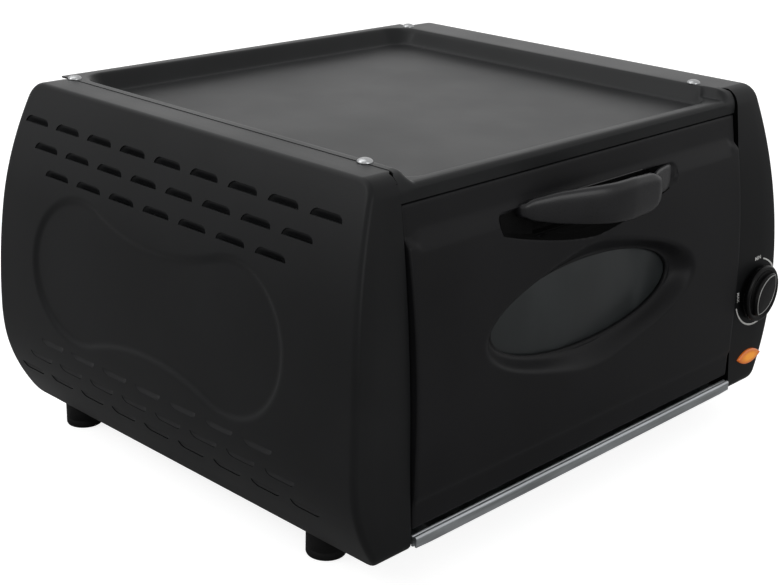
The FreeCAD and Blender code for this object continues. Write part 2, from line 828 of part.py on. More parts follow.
def left_liner():
    """Left wall of the chamber."""
    return mirrored(right_liner())


def chamber_back():
    """Back wall of the chamber."""
    return box(-chamber_half, chamber_half, chamber_back_y, chamber_back_y + liner_sheet,
               deck_z, roof_z)


def chamber_roof():
    """Roof of the chamber, resting on its walls."""
    return box(-chamber_half, chamber_half, frame_y + sheet, chamber_back_y + liner_sheet,
               roof_z, roof_z + liner_sheet)


def heaters_at(z):
    """Two straight sheathed heater rods across the chamber."""
    end = chamber_half + heater_overhang
    return [rod(Vec(-end, y, z), Vec(end, y, z), heater_radius) for y in heater_ys()]


def heater_insulators():
    """Ceramic collars that carry the rods in the chamber walls."""
    collars = []
    for y in heater_ys():
        for z in heater_heights():
            inner_x, outer_x = chamber_half - liner_sheet, chamber_half + insulator_length
            neck = rod(Vec(inner_x, y, z), Vec(chamber_half, y, z), insulator_radius - insulator_shoulder)
            head = rod(Vec(chamber_half, y, z), Vec(outer_x, y, z), insulator_radius)
            collar = neck.fuse(head).cut(rod(Vec(inner_x - 1, y, z), Vec(outer_x + 1, y, z),
                                             heater_radius))
            collars += [solid_of(collar), mirrored(solid_of(collar))]
    return collars


def heater_terminals():
    """Threaded end studs of the rods."""
    studs = []
    end = chamber_half + heater_overhang
    for y in heater_ys():
        for z in heater_heights():
            for side in (1, -1):
                studs.append(rod(Vec(side * end, y, z), Vec(side * (end + stud_length), y, z),
                                 stud_radius))
    return studs


def rack_runners():
    """Angle strips on both chamber walls that carry the rack."""
    strips = []
    inner = chamber_half - liner_sheet
    low = base_z + rack_rise - 2 * rack_wire
    y0, y1 = frame_y + runner_front_room, chamber_back_y - runner_back_room
    for side in (1, -1):
        shelf = box(inner - runner_width, inner, y0, y1, low - runner_sheet, low)
        web = box(inner - runner_sheet, inner, y0, y1, low - runner_width, low)
        strip = shelf.fuse(web).removeSplitter()
        strips.append(strip if side > 0 else mirrored(strip))
    return strips


def grill_rack():
    """Welded wire rack: a frame wire on each side and evenly spaced bars across it."""
    half = chamber_half - liner_sheet - rack_clear
    z = base_z + rack_rise - rack_wire
    y0 = frame_y + rack_front_room
    y1 = y0 + rack_depth
    side_x = half - 2 * rack_wire
    rails = [rod(Vec(s * side_x, y0, z), Vec(s * side_x, y1, z), rack_wire) for s in (1, -1)]
    bars = []
    for place in range(rack_bars):
        y = y0 + rack_wire + place * (rack_depth - 2 * rack_wire) / (rack_bars - 1)
        bar_z = z + 1.6 * rack_wire
        bars.append(rod(Vec(-half, y, bar_z), Vec(half, y, bar_z), rack_wire))
    return join(rails + bars)


# ---- door -------------------------------------------------------------------------------------------------------------------
def door_tilt():
    """Lean of the door's main face, in degrees."""
    rise = door_bend_rise - door_bottom_rise
    return math.degrees(math.atan2(door_bend_setback - door_bottom_setback, rise))


def door_top_z():
    """Top edge of the door, under the tray's lip."""
    return lip_z - lip_door_gap


def door_block(inset, half, deep):
    """All that lies behind the door's face, set in by inset, as deep as the given y."""
    tilt = math.radians(door_tilt())
    top = door_top_z()
    z0, z1 = base_z + door_bottom_rise, base_z + door_bend_rise
    y0, y1 = front_y + door_bottom_setback, front_y + door_bend_setback
    band_slope = (band_setback - door_bend_setback) / (lip_z - z1)
    y2 = y1 + band_slope * (top - z1)
    shift = inset / math.cos(tilt)
    face = polygon_face([Vec(0, y0 + shift, z0), Vec(0, y1 + shift, z1), Vec(0, y2 + shift, top),
                         Vec(0, deep, top), Vec(0, deep, z0)])
    block = face.extrude(Vec(2 * half, 0, 0))
    block.translate(Vec(-half, 0, 0))
    bend = [e for e in block.Edges if abs(e.BoundBox.XLength - 2 * half) < eps
            and abs(e.BoundBox.ZMin - z1) < eps]
    return block.makeFillet(door_bend_radius - inset, bend)


def on_door(shape, rise):
    """Place a shape drawn about the origin (y inward from the face) on the door's main face."""
    placed = shape.copy()
    placed.rotate(Vec(0, 0, 0), X_AXIS, -door_tilt())
    slope = (door_bend_setback - door_bottom_setback) / (door_bend_rise - door_bottom_rise)
    y = front_y + door_bottom_setback + slope * (rise - door_bottom_rise)
    placed.translate(Vec(0, y, base_z + rise))
    return placed


def slot_prism(half_x, height, y0, y1, radius):
    """An upright slot with rounded corners along +Y."""
    block = box(-half_x, half_x, y0, y1, -height / 2, height / 2)
    corners = [e for e in block.Edges if abs(e.BoundBox.YLength - (y1 - y0)) < eps]
    return block.makeFillet(radius, corners)


def slot_wire(half_x, half_z, y, radius):
    """Outline of such a slot in the plane of that y."""
    block = slot_prism(half_x, 2 * half_z, y, y + 1, radius)
    return min(block.Faces, key=lambda face: face.CenterOfMass.y).OuterWire


def handle_recess(inset):
    """Cutter for the shallow recess behind the handle, for the face set in by inset."""
    grow = inset / 2
    over = 1 / recess_sink         # carried a little in front of the face
    outer = slot_wire(recess_half_length + grow + over * recess_end_run,
                      recess_half_height + grow + over * recess_edge_run, inset - 1,
                      recess_corner + grow + over * recess_edge_run)
    floor = slot_wire(recess_half_length + grow - recess_end_run,
                      recess_half_height + grow - recess_edge_run, recess_sink + inset,
                      recess_corner + grow - recess_edge_run)
    return Part.makeLoft([outer, floor], True, True)


def dish(inset):
    """Cutter for the soft dish around the window, for the face set in by inset."""
    outer_x, outer_z = window_half_length + dish_width, window_half_height + dish_width * 0.8
    wide = ellipse_frustum(outer_x + 0.2 * inset, outer_z + 0.2 * inset, inset,
                           window_half_length + sheet + inset, window_half_height + sheet + inset,
                           dish_depth + inset)
    return wide.fuse(ellipse_prism(outer_x + 0.2 * inset, outer_z + 0.2 * inset, -4, inset))


def door_form(inset, half):
    """Solid behind the door's outer surface, or behind the sheet's inside."""
    block = door_block(inset, half, front_y + door_block_depth)
    return block.cut([on_door(dish(inset), window_rise), on_door(handle_recess(inset), recess_rise)])


def door_skin():
    """Outer sheet of the door: flat face, band bent back on top, dished window and side returns."""
    inner = door_form(sheet, door_edge - sheet)
    inner = inner.common(box(-door_edge, door_edge, front_y, front_y + door_block_depth,
                             base_z + door_bottom_rise + sheet, door_top_z() - sheet))
    collar = ellipse_prism(window_half_length + sheet, window_half_height + sheet,
                           dish_depth - sheet, dish_depth + window_flange)
    shell = solid_of(door_form(0, door_edge).cut(inner)).common(
        box(-door_edge, door_edge, front_y, front_y + door_depth, base_z, top_z))
    shell = shell.fuse(on_door(collar, window_rise)).removeSplitter()
    tools = [on_door(ellipse_prism(window_half_length, window_half_height, -5, 20), window_rise),
             on_door(slot_prism(slot_half_length, slot_height, -5, 10, slot_corner), slot_rise),
             hinge_axis_rod(hinge_pin_radius, -door_edge - 1, door_edge + 1)]
    tools += [on_door(rod(Vec(side * handle_screw_pitch / 2, 0, 0),
                          Vec(side * handle_screw_pitch / 2, 10, 0), small_screw_radius), handle_rise)
              for side in (1, -1)]
    return solid_of(shell.cut(tools))


def hinge_axis_rod(radius, x0, x1):
    """A rod on the door's hinge axis."""
    return rod(Vec(x0, hinge_y, hinge_z), Vec(x1, hinge_y, hinge_z), radius)


def hinge_pins():
    """Two pins fixed in the door's lower corners that stand out at its sides."""
    outer = door_edge + pin_free_end
    pin = hinge_axis_rod(hinge_pin_radius, outer - hinge_pin_length, outer)
    return [pin, mirrored(pin)]


def hinge_bushes():
    """Flanged bushes in the side panels' front returns."""
    start = opening_half - bush_lap
    body = hinge_axis_rod(hinge_bush_radius, start, opening_half + hinge_bush_length)
    collar = hinge_axis_rod(hinge_bush_radius + bush_collar, opening_half + sheet, opening_half + 2 * sheet)
    bush = body.fuse(collar).cut(hinge_axis_rod(hinge_pin_radius + running_gap, start - 1,
                                                opening_half + hinge_bush_length + 1))
    bush = solid_of(bush)
    return [bush, mirrored(bush)]


def door_inner_panel():
    """Inner pan of the door, its rim reaching forward to the skin."""
    back = frame_y - 0.4
    low, high = base_z + inner_panel_low, base_z + inner_panel_high
    outer = box(-inner_panel_half, inner_panel_half, front_y, back, low, high)
    hollow = box(-inner_panel_half + liner_sheet, inner_panel_half - liner_sheet, front_y - 1,
                 back - liner_sheet, low + liner_sheet, high - liner_sheet)
    behind = door_block(sheet, door_edge - sheet, frame_y + 5)
    pan = solid_of(outer.cut(hollow).common(behind))
    window = ellipse_prism(window_half_length + glass_lap, window_half_height + glass_lap, 0, door_block_depth)
    window.translate(Vec(0, front_y, base_z + window_rise))
    half_sheet = liner_sheet / 2
    ears = [box(side * (inner_panel_half - half_sheet) - half_sheet,
                side * (inner_panel_half - half_sheet) + half_sheet,
                hinge_y - 1.8 * hinge_pin_radius, hinge_y + hinge_ear_reach,
                hinge_z - 1.7 * hinge_pin_radius, low + 2 * sheet) for side in (1, -1)]
    pan = pan.fuse(ears).removeSplitter()
    return solid_of(pan.cut([window, hinge_axis_rod(hinge_pin_radius, -door_edge, door_edge)]))


def window_glass():
    """Oval pane behind the dished opening."""
    y0 = dish_depth + window_flange
    return on_door(ellipse_prism(window_half_length + glass_lap, window_half_height + glass_lap,
                                 y0, y0 + glass_thickness), window_rise)


def window_retainer():
    """Oval ring that clamps the pane against the skin."""
    y0 = dish_depth + window_flange + glass_thickness
    rim_x, rim_z = window_half_length + glass_lap, window_half_height + glass_lap
    ring = ellipse_prism(rim_x + retainer_lap, rim_z + retainer_lap, sheet, y0 + liner_sheet)
    ring = ring.cut([ellipse_prism(rim_x + retainer_lap - liner_sheet,
                                   rim_z + retainer_lap - liner_sheet, 0, y0),
                     ellipse_prism(window_half_length - 2, window_half_height - 2, 0, y0 + 5)])
    ring = on_door(ring, window_rise)
    behind = door_block(sheet, door_edge - sheet, frame_y).cut(on_door(dish(sheet), window_rise))
    return solid_of(ring.common(behind))


def bow_section(turn):
    """Oval section of the grip at an angle along the bow, which is half an ellipse in plan."""
    swell = math.cos(turn)
    half_h = (grip_end_height + (grip_height - grip_end_height) * swell) / 2
    half_t = (grip_end_thickness + (grip_thickness - grip_end_thickness) * swell) / 2
    reach = bow_reach()
    centre = Vec((bow_half_length - half_t) * math.sin(turn),
                 recess_sink - (reach - half_t) * swell, 0)
    outward = Vec(math.sin(turn) * reach, -swell * bow_half_length, 0).normalize()
    oval = Part.Ellipse(centre + Z_AXIS * half_h, centre + outward * half_t, centre)
    return Part.Wire(oval.toShape())


def bow_reach():
    """Front of the bow to the recess floor behind it."""
    slope = math.tan(math.radians(door_tilt()))
    return handle_stand + door_bottom_setback + slope * (handle_rise - door_bottom_rise) + recess_sink


def door_handle():
    """Bow handle, its two ends standing on the recess and tapped for a screw each."""
    stations = 11
    turns = [math.radians(180 * k / (stations - 1) - 90) for k in range(stations)]
    bow = Part.makeLoft([bow_section(turn) for turn in turns], True, False)
    end_x = bow_half_length - grip_end_thickness / 2
    feet = []
    for side in (1, -1):
        foot_oval = Part.Ellipse(Vec(side * end_x, recess_sink, grip_end_height / 2),
                                 Vec(side * end_x + grip_end_thickness / 2, recess_sink, 0),
                                 Vec(side * end_x, recess_sink, 0))
        face = Part.Face(Part.Wire(foot_oval.toShape()))
        feet.append(face.extrude(Y_AXIS * recess_sink))
    handle = join([bow] + feet)
    handle.rotate(Vec(0, 0, 0), X_AXIS, door_tilt())
    handle = on_door(handle, handle_rise).cut(door_form(0, door_edge))
    bores = [on_door(rod(Vec(side * handle_screw_pitch / 2, recess_sink - handle_screw_bite, 0),
                         Vec(side * handle_screw_pitch / 2, 10, 0), small_screw_radius), handle_rise)
             for side in (1, -1)]
    return solid_of(handle.cut(bores))


def handle_screws():
    """Screws from inside the door into the handle's ends."""
    screws = []
    seat = recess_sink + sheet
    for side in (1, -1):
        x = side * handle_screw_pitch / 2
        shank = rod(Vec(x, recess_sink - handle_screw_bite, 0), Vec(x, seat, 0), small_screw_radius)
        head = rod(Vec(x, seat, 0), Vec(x, seat + small_head_height, 0), small_head_radius)
        screws.append(on_door(shank.fuse(head), handle_rise))
    return screws


def finger_cup():
    """Pressed cup behind the finger slot, with a flange behind the skin and a small lip in front."""
    half, height = slot_half_length - cup_fit, slot_height - 2 * cup_fit
    corner = slot_corner - cup_fit
    front, back = recess_sink - cup_lip, recess_sink + cup_depth
    seat = recess_sink + sheet
    outer = slot_prism(half, height, front, back, corner)
    flange = slot_prism(half + cup_flange, height - 2 * cup_flange, seat, seat + sheet, corner)
    hollow = slot_prism(half - sheet, height - 2 * sheet, front - 1, back - sheet, corner - sheet)
    return on_door(solid_of(outer.fuse(flange).cut(hollow)), slot_rise)


# ---- crumb tray --------------------------------------------------------------------------------------------------------------
def crumb_tray():
    """Shallow bright tray under the chamber; its front lip closes the gap below the door."""
    y0 = front_y + crumb_setback
    low = deck_z + slide_gap
    top = base_z + crumb_wall_high
    pan = box(-crumb_half, crumb_half, y0, y0 + crumb_length, low, top)
    pan = pan.cut(box(-crumb_half + liner_sheet, crumb_half - liner_sheet, y0 + liner_sheet,
                      y0 + crumb_length - liner_sheet, low + liner_sheet, top + 1))
    lip_half = opening_half - crumb_lip_gap
    lip_low, lip_high = base_z + crumb_lip_low, base_z + crumb_lip_high
    lip_front = y0 - crumb_lip_forward
    strip = box(-lip_half, lip_half, lip_front, y0 + liner_sheet / 4, lip_low,
                lip_high - crumb_roll_radius)
    roll_y = lip_front + crumb_roll_radius
    roll = rod(Vec(-lip_half, roll_y, lip_high - crumb_roll_radius),
               Vec(lip_half, roll_y, lip_high - crumb_roll_radius), crumb_roll_radius)
    return solid_of(join([pan, strip, roll]))


# ---- controls --------------------------------------------------------------------------------------------------------------------
def leaf_face(half_x, half_z, y):
    """A leaf shape, two arcs meeting in points, about the lamp's centre."""
    centre = Vec(lamp_x, y, base_z + lamp_rise)
    left, right = centre - X_AXIS * half_x, centre + X_AXIS * half_x
    edges = [Part.Arc(left, centre + Z_AXIS * half_z, right).toShape(),
             Part.Arc(right, centre - Z_AXIS * half_z, left).toShape()]
    return Part.Face(Part.Wire(edges))


def leaf_prism(half_x, half_z, y0, y1):
    """The leaf shape carried along Y."""
    return leaf_face(half_x, half_z, y0).extrude(Vec(0, y1 - y0, 0))


def indicator_lens():
    """Amber lens through the flange, with a wider rim behind the sheet."""
    window = leaf_prism(lamp_half_length - lens_fit, lamp_half_height - lens_fit,
                        front_y - lens_rise, front_y + sheet)
    rim = leaf_prism(lamp_half_length + lens_rim_x, lamp_half_height + lens_rim_z,
                     front_y + sheet, front_y + 2 * sheet)
    return window.fuse(rim.common(side_block(sheet, opening_half)))


def indicator_lamp():
    """Neon lamp holder behind the lens."""
    z = base_z + lamp_rise
    y = front_y + 2 * sheet
    barrel = rod(Vec(lamp_x, y, z), Vec(lamp_x, y + lamp_barrel_length, z), lamp_barrel_radius)
    flange = box(lamp_x - lamp_plate_half_x, lamp_x + lamp_plate_half_x, y, y + lamp_plate,
                 z - lamp_plate_half_z, z + lamp_plate_half_z)
    return barrel.fuse(flange).removeSplitter()


def knob_z():
    """Height of the thermostat's axis."""
    return base_z + knob_rise


def thermostat():
    """Thermostat body with its threaded bushing through the flange and a bore for the shaft."""
    y0 = front_y + sheet
    middle = control_x - thermostat_shift
    body_y = y0 + thermostat_room
    body = box(middle - thermostat_width / 2, middle + thermostat_width / 2, body_y,
               body_y + thermostat_depth, knob_z() - thermostat_height / 2,
               knob_z() + thermostat_height / 2)
    neck = rod(Vec(control_x, front_y - nut_thickness - bushing_past_nut, knob_z()),
               Vec(control_x, body_y + sheet, knob_z()), bushing_radius)
    seat_radius = bushing_radius + bushing_seat
    seat = rod(Vec(control_x, y0 + front_setback(knob_z() + seat_radius), knob_z()),
               Vec(control_x, body_y + sheet, knob_z()), seat_radius)
    bore = rod(Vec(control_x, front_y - knob_reach, knob_z()),
               Vec(control_x, y0 + shaft_depth + 1, knob_z()), shaft_radius + running_gap)
    return join([body, neck, seat]).cut(bore)


def thermostat_nut():
    """Thin hexagon nut on the bushing, in front of the sheet and inside the knob's back."""
    across = bushing_radius + nut_wall
    corners = [Vec(control_x + across * math.cos(math.radians(60 * k)), front_y - nut_thickness,
                   knob_z() + across * math.sin(math.radians(60 * k))) for k in range(6)]
    hexagon = polygon_face(corners).extrude(Y_AXIS * nut_thickness)
    return hexagon.cut(rod(Vec(control_x, front_y - 5, knob_z()), Vec(control_x, front_y + 1, knob_z()),
                           bushing_radius))


def thermostat_shaft():
    """Turning shaft with a flat on its knob end."""
    start, end = front_y - knob_reach + shaft_cover, front_y + sheet + shaft_depth
    shaft = rod(Vec(control_x, start, knob_z()), Vec(control_x, end, knob_z()), shaft_radius)
    flat = box(control_x + shaft_radius - shaft_flat, control_x + 2 * shaft_radius, start - 1,
               front_y - nut_thickness - 1, knob_z() - 2 * shaft_radius,
               knob_z() + 2 * shaft_radius)
    return shaft.cut(turned(flat))


def turned(shape):
    """A shape turned with the knob's pointer."""
    placed = shape.copy()
    placed.rotate(Vec(control_x, 0, knob_z()), Y_AXIS, blade_angle)
    return placed


def control_knob():
    """Round skirt with a raised lens-shaped grip blade and a D-shaped bore."""
    back = front_y - knob_gap
    skirt_front = back - skirt_thickness
    skirt = rod(Vec(control_x, back, knob_z()), Vec(control_x, skirt_front, knob_z()), skirt_radius)
    rim = [e for e in skirt.Edges if abs(e.BoundBox.YMax - skirt_front) < eps
           and e.BoundBox.ZLength > skirt_radius]
    skirt = skirt.makeFillet(skirt_rim_radius, rim)
    blade_front = front_y - knob_reach
    base = blade_outline(blade_half_length, blade_half_width, skirt_front + 1)
    ridge = blade_outline(blade_half_length - blade_draft, blade_half_width - blade_draft, blade_front)
    blade = Part.makeLoft([base, ridge], True, True)
    bore_end = front_y - knob_reach + shaft_cover
    bore = rod(Vec(control_x, bore_end, knob_z()), Vec(control_x, front_y, knob_z()), shaft_radius)
    key = box(control_x + shaft_radius - shaft_flat, control_x + shaft_radius + 1, bore_end - 1,
              back, knob_z() - shaft_radius, knob_z() + shaft_radius)
    recess = rod(Vec(control_x, back, knob_z()), Vec(control_x, back - knob_recess_depth, knob_z()),
                 knob_recess_radius)
    knob = skirt.fuse(turned(blade)).removeSplitter()
    return solid_of(knob.cut([bore.cut(turned(key)), recess]))


def blade_outline(half_length, half_width, y):
    """Lens-shaped outline of the knob's blade, long way up."""
    centre = Vec(control_x, y, knob_z())
    low, high = centre - Z_AXIS * half_length, centre + Z_AXIS * half_length
    return Part.Wire([Part.Arc(low, centre + X_AXIS * half_width, high).toShape(),
                      Part.Arc(high, centre - X_AXIS * half_width, low).toShape()])


# ---- feet, screws and electrics ----------------------------------------------------------------------------------------------------
def foot(x, y):
    """Round rubber foot with a recess for its screw."""
    body = rod(Vec(x, y, 0), Vec(x, y, foot_height), foot_radius)
    rim = [e for e in body.Edges if e.BoundBox.ZMax < eps and e.BoundBox.XLength > foot_radius]
    body = body.makeFillet(foot_rim_radius, rim)
    recess = rod(Vec(x, y, -1), Vec(x, y, foot_height - foot_screw_seat),
                 small_head_radius + foot_screw_room)
    hole = rod(Vec(x, y, 0), Vec(x, y, foot_height + 1), screw_radius)
    return body.cut([recess, hole])


def foot_screws():
    """Screws up through the feet into the base."""
    screws = []
    for x, y in foot_places():
        for side in (1, -1):
            z = foot_height - foot_screw_seat
            shank = rod(Vec(side * x, y, z), Vec(side * x, y, deck_z + foot_screw_past),
                        screw_radius)
            head = rod(Vec(side * x, y, z - head_height), Vec(side * x, y, z),
                       2 * screw_radius)
            screws.append(shank.fuse(head).removeSplitter())
    return screws


def dome_head(centre, radius, height):
    """A low domed screw head standing up from its seat."""
    sphere_radius = arc_radius(radius, height)
    ball = Part.makeSphere(sphere_radius, centre + Z_AXIS * (height - sphere_radius))
    return ball.common(rod(centre, centre + Z_AXIS * (height + 1), radius))


def cross_cutter(seat, length, width):
    """One bar of a cross slot over a screw's seat, long along X and wide along Y."""
    return box(seat.x - length / 2, seat.x + length / 2, seat.y - width / 2, seat.y + width / 2,
               seat.z + cross_floor, seat.z + 2 * head_height)


def top_screws():
    """Four bright domed screws through the tray's rim."""
    screws = []
    for x, y in top_screw_places():
        for side in (1, -1):
            seat = Vec(side * x, y, rim_z)
            head = dome_head(seat, head_radius, head_height)
            cross = [cross_cutter(seat, cross_length, cross_width),
                     cross_cutter(seat, cross_width, cross_length)]
            shank = rod(seat - Z_AXIS * top_screw_length, seat + Z_AXIS * cross_floor / 2,
                        screw_radius)
            screws.append(solid_of(head.fuse(shank).cut(cross)))
    return screws


def back_screws():
    """Six pan-head screws that hold the back panel to the side panels."""
    return [on_back(small_screw(small_head_radius), side * back_screw_x(), z, 0)
            for z in back_screw_heights() for side in (1, -1)]


def small_screw(head_radius_here):
    """A pan-head screw at the origin, its head towards +Y."""
    shank = rod(Y_AXIS * -small_screw_length, Vec(0, 0, 0), small_screw_radius)
    head = rod(Vec(0, 0, 0), Y_AXIS * small_head_height, head_radius_here)
    return shank.fuse(head).removeSplitter()


def power_inlet():
    """Appliance inlet set in the back panel, its three blades inside the open shroud."""
    half_x, half_z = inlet_width / 2 - inlet_fit, inlet_height / 2 - inlet_fit
    flange_x = inlet_screw_pitch / 2 + inlet_flange
    body = box(-half_x, half_x, -inlet_body_depth, inlet_flange_thickness / 2, -half_z, half_z)
    flange = box(-flange_x, flange_x, 0, inlet_flange_thickness, -half_z - inlet_rim,
                 half_z + inlet_rim)
    hollow = box(-half_x + inlet_wall, half_x - inlet_wall, -inlet_socket_depth,
                 2 * inlet_flange_thickness, -half_z + inlet_wall, half_z - inlet_wall)
    holes = [rod(Vec(side * inlet_screw_pitch / 2, -1, 0),
                 Vec(side * inlet_screw_pitch / 2, 2 * inlet_flange_thickness, 0),
                 small_screw_radius) for side in (1, -1)]
    blades = [box(x - blade_half_thick, x + blade_half_thick, -inlet_socket_depth - 1,
                  -blade_setback, z - blade_half_deep, z + blade_half_deep)
              for x, z in ((-inlet_blade_pitch, -earth_lift), (inlet_blade_pitch, -earth_lift),
                           (0, earth_lift))]
    inlet = join([body.fuse(flange).cut([hollow] + holes)] + blades)
    return on_back(inlet, inlet_x, base_z + inlet_rise, sheet)


def inlet_screws():
    """Two screws that hold the inlet to the back panel."""
    screws = []
    for side in (1, -1):
        screw = small_screw(small_head_radius - 0.8)
        screw.translate(Vec(side * inlet_screw_pitch / 2, inlet_flange_thickness, 0))
        screws.append(on_back(screw, inlet_x, base_z + inlet_rise, sheet))
    return screws


def terminal_block():
    """Three-way terminal block on the base in the control side."""
    y0 = mid_y + terminal_setback
    x0 = chamber_half + insulator_length + terminal_side_room
    x1 = foot_x + terminal_side_room
    length = terminal_ways * terminal_pitch
    body = box(x0, x1, y0, y0 + length, deck_z, deck_z + terminal_height)
    holes = []
    for way in range(terminal_ways):
        y, z = y0 + (way + 0.5) * terminal_pitch, deck_z + terminal_height / 2
        holes.append(rod(Vec(x0 - 1, y, z), Vec(x1 + 1, y, z), terminal_pitch / 4))
    return body.cut(holes)


# ---- all nodes ---------------------------------------------------------------------------------------------------------------------------
def foot_nodes():
    """The four feet by place."""
    nodes = {}
    for depth_name, (x, y) in zip(("front", "back"), foot_places()):
        nodes["foot_" + depth_name + "_right"] = foot(x, y)
        nodes["foot_" + depth_name + "_left"] = foot(-x, y)
    return nodes


def all_nodes():
    """Every node by name, as one shape or a group of separate solids."""
    lower, upper = heater_heights()
    nodes = {
        "left_side_panel": left_side_panel(), "right_side_panel": right_side_panel(),
        "top_tray": top_tray(), "back_panel": back_panel(), "base_pan": base_pan(),
        "front_frame": front_frame(), "left_liner": left_liner(), "right_liner": right_liner(),
        "chamber_back": chamber_back(), "chamber_roof": chamber_roof(),
        "upper_heaters": heaters_at(upper), "lower_heaters": heaters_at(lower),
        "heater_insulators": heater_insulators(), "heater_terminals": heater_terminals(),
        "rack_runners": rack_runners(), "grill_rack": grill_rack(),
        "door_skin": door_skin(), "door_inner_panel": door_inner_panel(),
        "window_glass": window_glass(), "window_retainer": window_retainer(),
        "door_handle": door_handle(), "handle_screws": handle_screws(),
        "finger_cup": finger_cup(), "hinge_pins": hinge_pins(), "hinge_bushes": hinge_bushes(),
        "crumb_tray": crumb_tray(), "control_knob": control_knob(),
        "thermostat_shaft": thermostat_shaft(), "thermostat": thermostat(),
        "thermostat_nut": thermostat_nut(),
        "indicator_lens": indicator_lens(), "indicator_lamp": indicator_lamp(),
        "top_screws": top_screws(), "back_screws": back_screws(), "foot_screws": foot_screws(),
        "power_inlet": power_inlet(), "inlet_screws": inlet_screws(),
        "terminal_block": terminal_block(),
    }
    nodes.update(foot_nodes())
    return nodes


def main():
    """Write one STEP file per node."""
    os.makedirs("parts", exist_ok=True)
    for name, shape in all_nodes().items():
        solid = Part.makeCompound(shape) if isinstance(shape, list) else shape
        solid.exportStep("parts/" + name + ".step")
        print(name, len(solid.Solids), "valid" if solid.isValid() else "INVALID",
              round(solid.Volume), solid.BoundBox)


main()
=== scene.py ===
"""Electric tandoor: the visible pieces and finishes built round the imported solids.

Frame: metres, +Z up, the door faces -Y, the controls are on the right (+X).
Lengths inside the classes are in millimetres and are scaled once, when a mesh is made.
"""
import sys

import logging
import math
from contextlib import contextmanager
from dataclasses import dataclass, field
from enum import Enum
from typing import Any, Callable, Iterable, Iterator, Sequence

import bmesh
import bpy
import numpy as np
from mathutils import Matrix, Vector


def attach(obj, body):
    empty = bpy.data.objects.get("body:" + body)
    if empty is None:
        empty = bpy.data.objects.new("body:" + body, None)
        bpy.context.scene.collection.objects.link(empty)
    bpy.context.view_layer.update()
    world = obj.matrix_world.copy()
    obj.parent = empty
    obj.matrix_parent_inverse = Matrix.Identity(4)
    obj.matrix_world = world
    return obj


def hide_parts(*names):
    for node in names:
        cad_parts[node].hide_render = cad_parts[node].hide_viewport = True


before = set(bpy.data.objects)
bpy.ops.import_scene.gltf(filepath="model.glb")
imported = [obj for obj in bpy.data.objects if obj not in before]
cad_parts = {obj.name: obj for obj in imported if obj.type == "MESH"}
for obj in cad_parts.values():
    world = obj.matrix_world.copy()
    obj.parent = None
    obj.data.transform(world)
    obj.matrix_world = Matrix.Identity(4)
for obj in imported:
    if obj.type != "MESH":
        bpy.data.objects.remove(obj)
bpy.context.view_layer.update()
LOG = logging.getLogger("tandoor")
MM = 0.001
Array = np.ndarray
Piece = bpy.types.Object
Faces = list[list[int]]
Pair = tuple[float, float]
Triple = tuple[float, float, float]
MID_BAND = (0.3, 0.7)        # the part of a noise's range that most features use
WIDE_BAND = (0.25, 0.75)
MERGE = 0.001                # millimetres within which two corners are one
FILM = 0.1                   # millimetres between faces that would else coincide
STRAIGHT = 1e6               # radius of a curve that counts as straight, in millimetres
PANEL_GAP = 1.3              # millimetres from a side panel's face to what lies inside it
PRINT_SINK = 0.1             # millimetres by which a flat word starts in front of its flange
COPY_CREASE = 40.0           # degrees at which the edge of a dressed copy is sharp
PRESSED_CREASE = 38.0        # degrees at which the edge of a pressed sheet is sharp


# ---- shader and geometry maths ------------------------------------------------------------------
class Sock:
    """A node socket that takes part in Python arithmetic."""

    def __init__(self, graph: "Graph", socket: Any) -> None:
        """Wrap an output socket of a tree."""
        self.graph = graph
        self.socket = socket

    def math(self, operation: str, *others: Any) -> "Sock":
        """Add a Math node.

        Args:
            operation: the Math node's operation.
            others: numbers or sockets for the inputs after this one.
        Returns:
            The node's value.
        """
        values = {i: v for i, v in enumerate((self, *others))}
        return self.graph.node("ShaderNodeMath", {"operation": operation}, values)

    def __add__(self, other: Any) -> "Sock":
        """Sum."""
        return self.math("ADD", other)

    def __rsub__(self, other: Any) -> "Sock":
        """Reflected difference."""
        return self.graph.node("ShaderNodeMath", {"operation": "SUBTRACT"}, {0: other, 1: self})

    def __mul__(self, other: Any) -> "Sock":
        """Product."""
        return self.math("MULTIPLY", other)

    __radd__ = __add__
    __rmul__ = __mul__

    def ramp(self, low: float, high: float, to_low: float = 0.0, to_high: float = 1.0) -> "Sock":
        """Map a range smoothly to another.

        Args:
            low: input value that gives to_low.
            high: input value that gives to_high.
            to_low: value at and below low.
            to_high: value at and above high.
        Returns:
            The mapped value.
        """
        return self.graph.node("ShaderNodeMapRange", {"interpolation_type": "SMOOTHSTEP"},
                               {0: self, 1: low, 2: high, 3: to_low, 4: to_high})


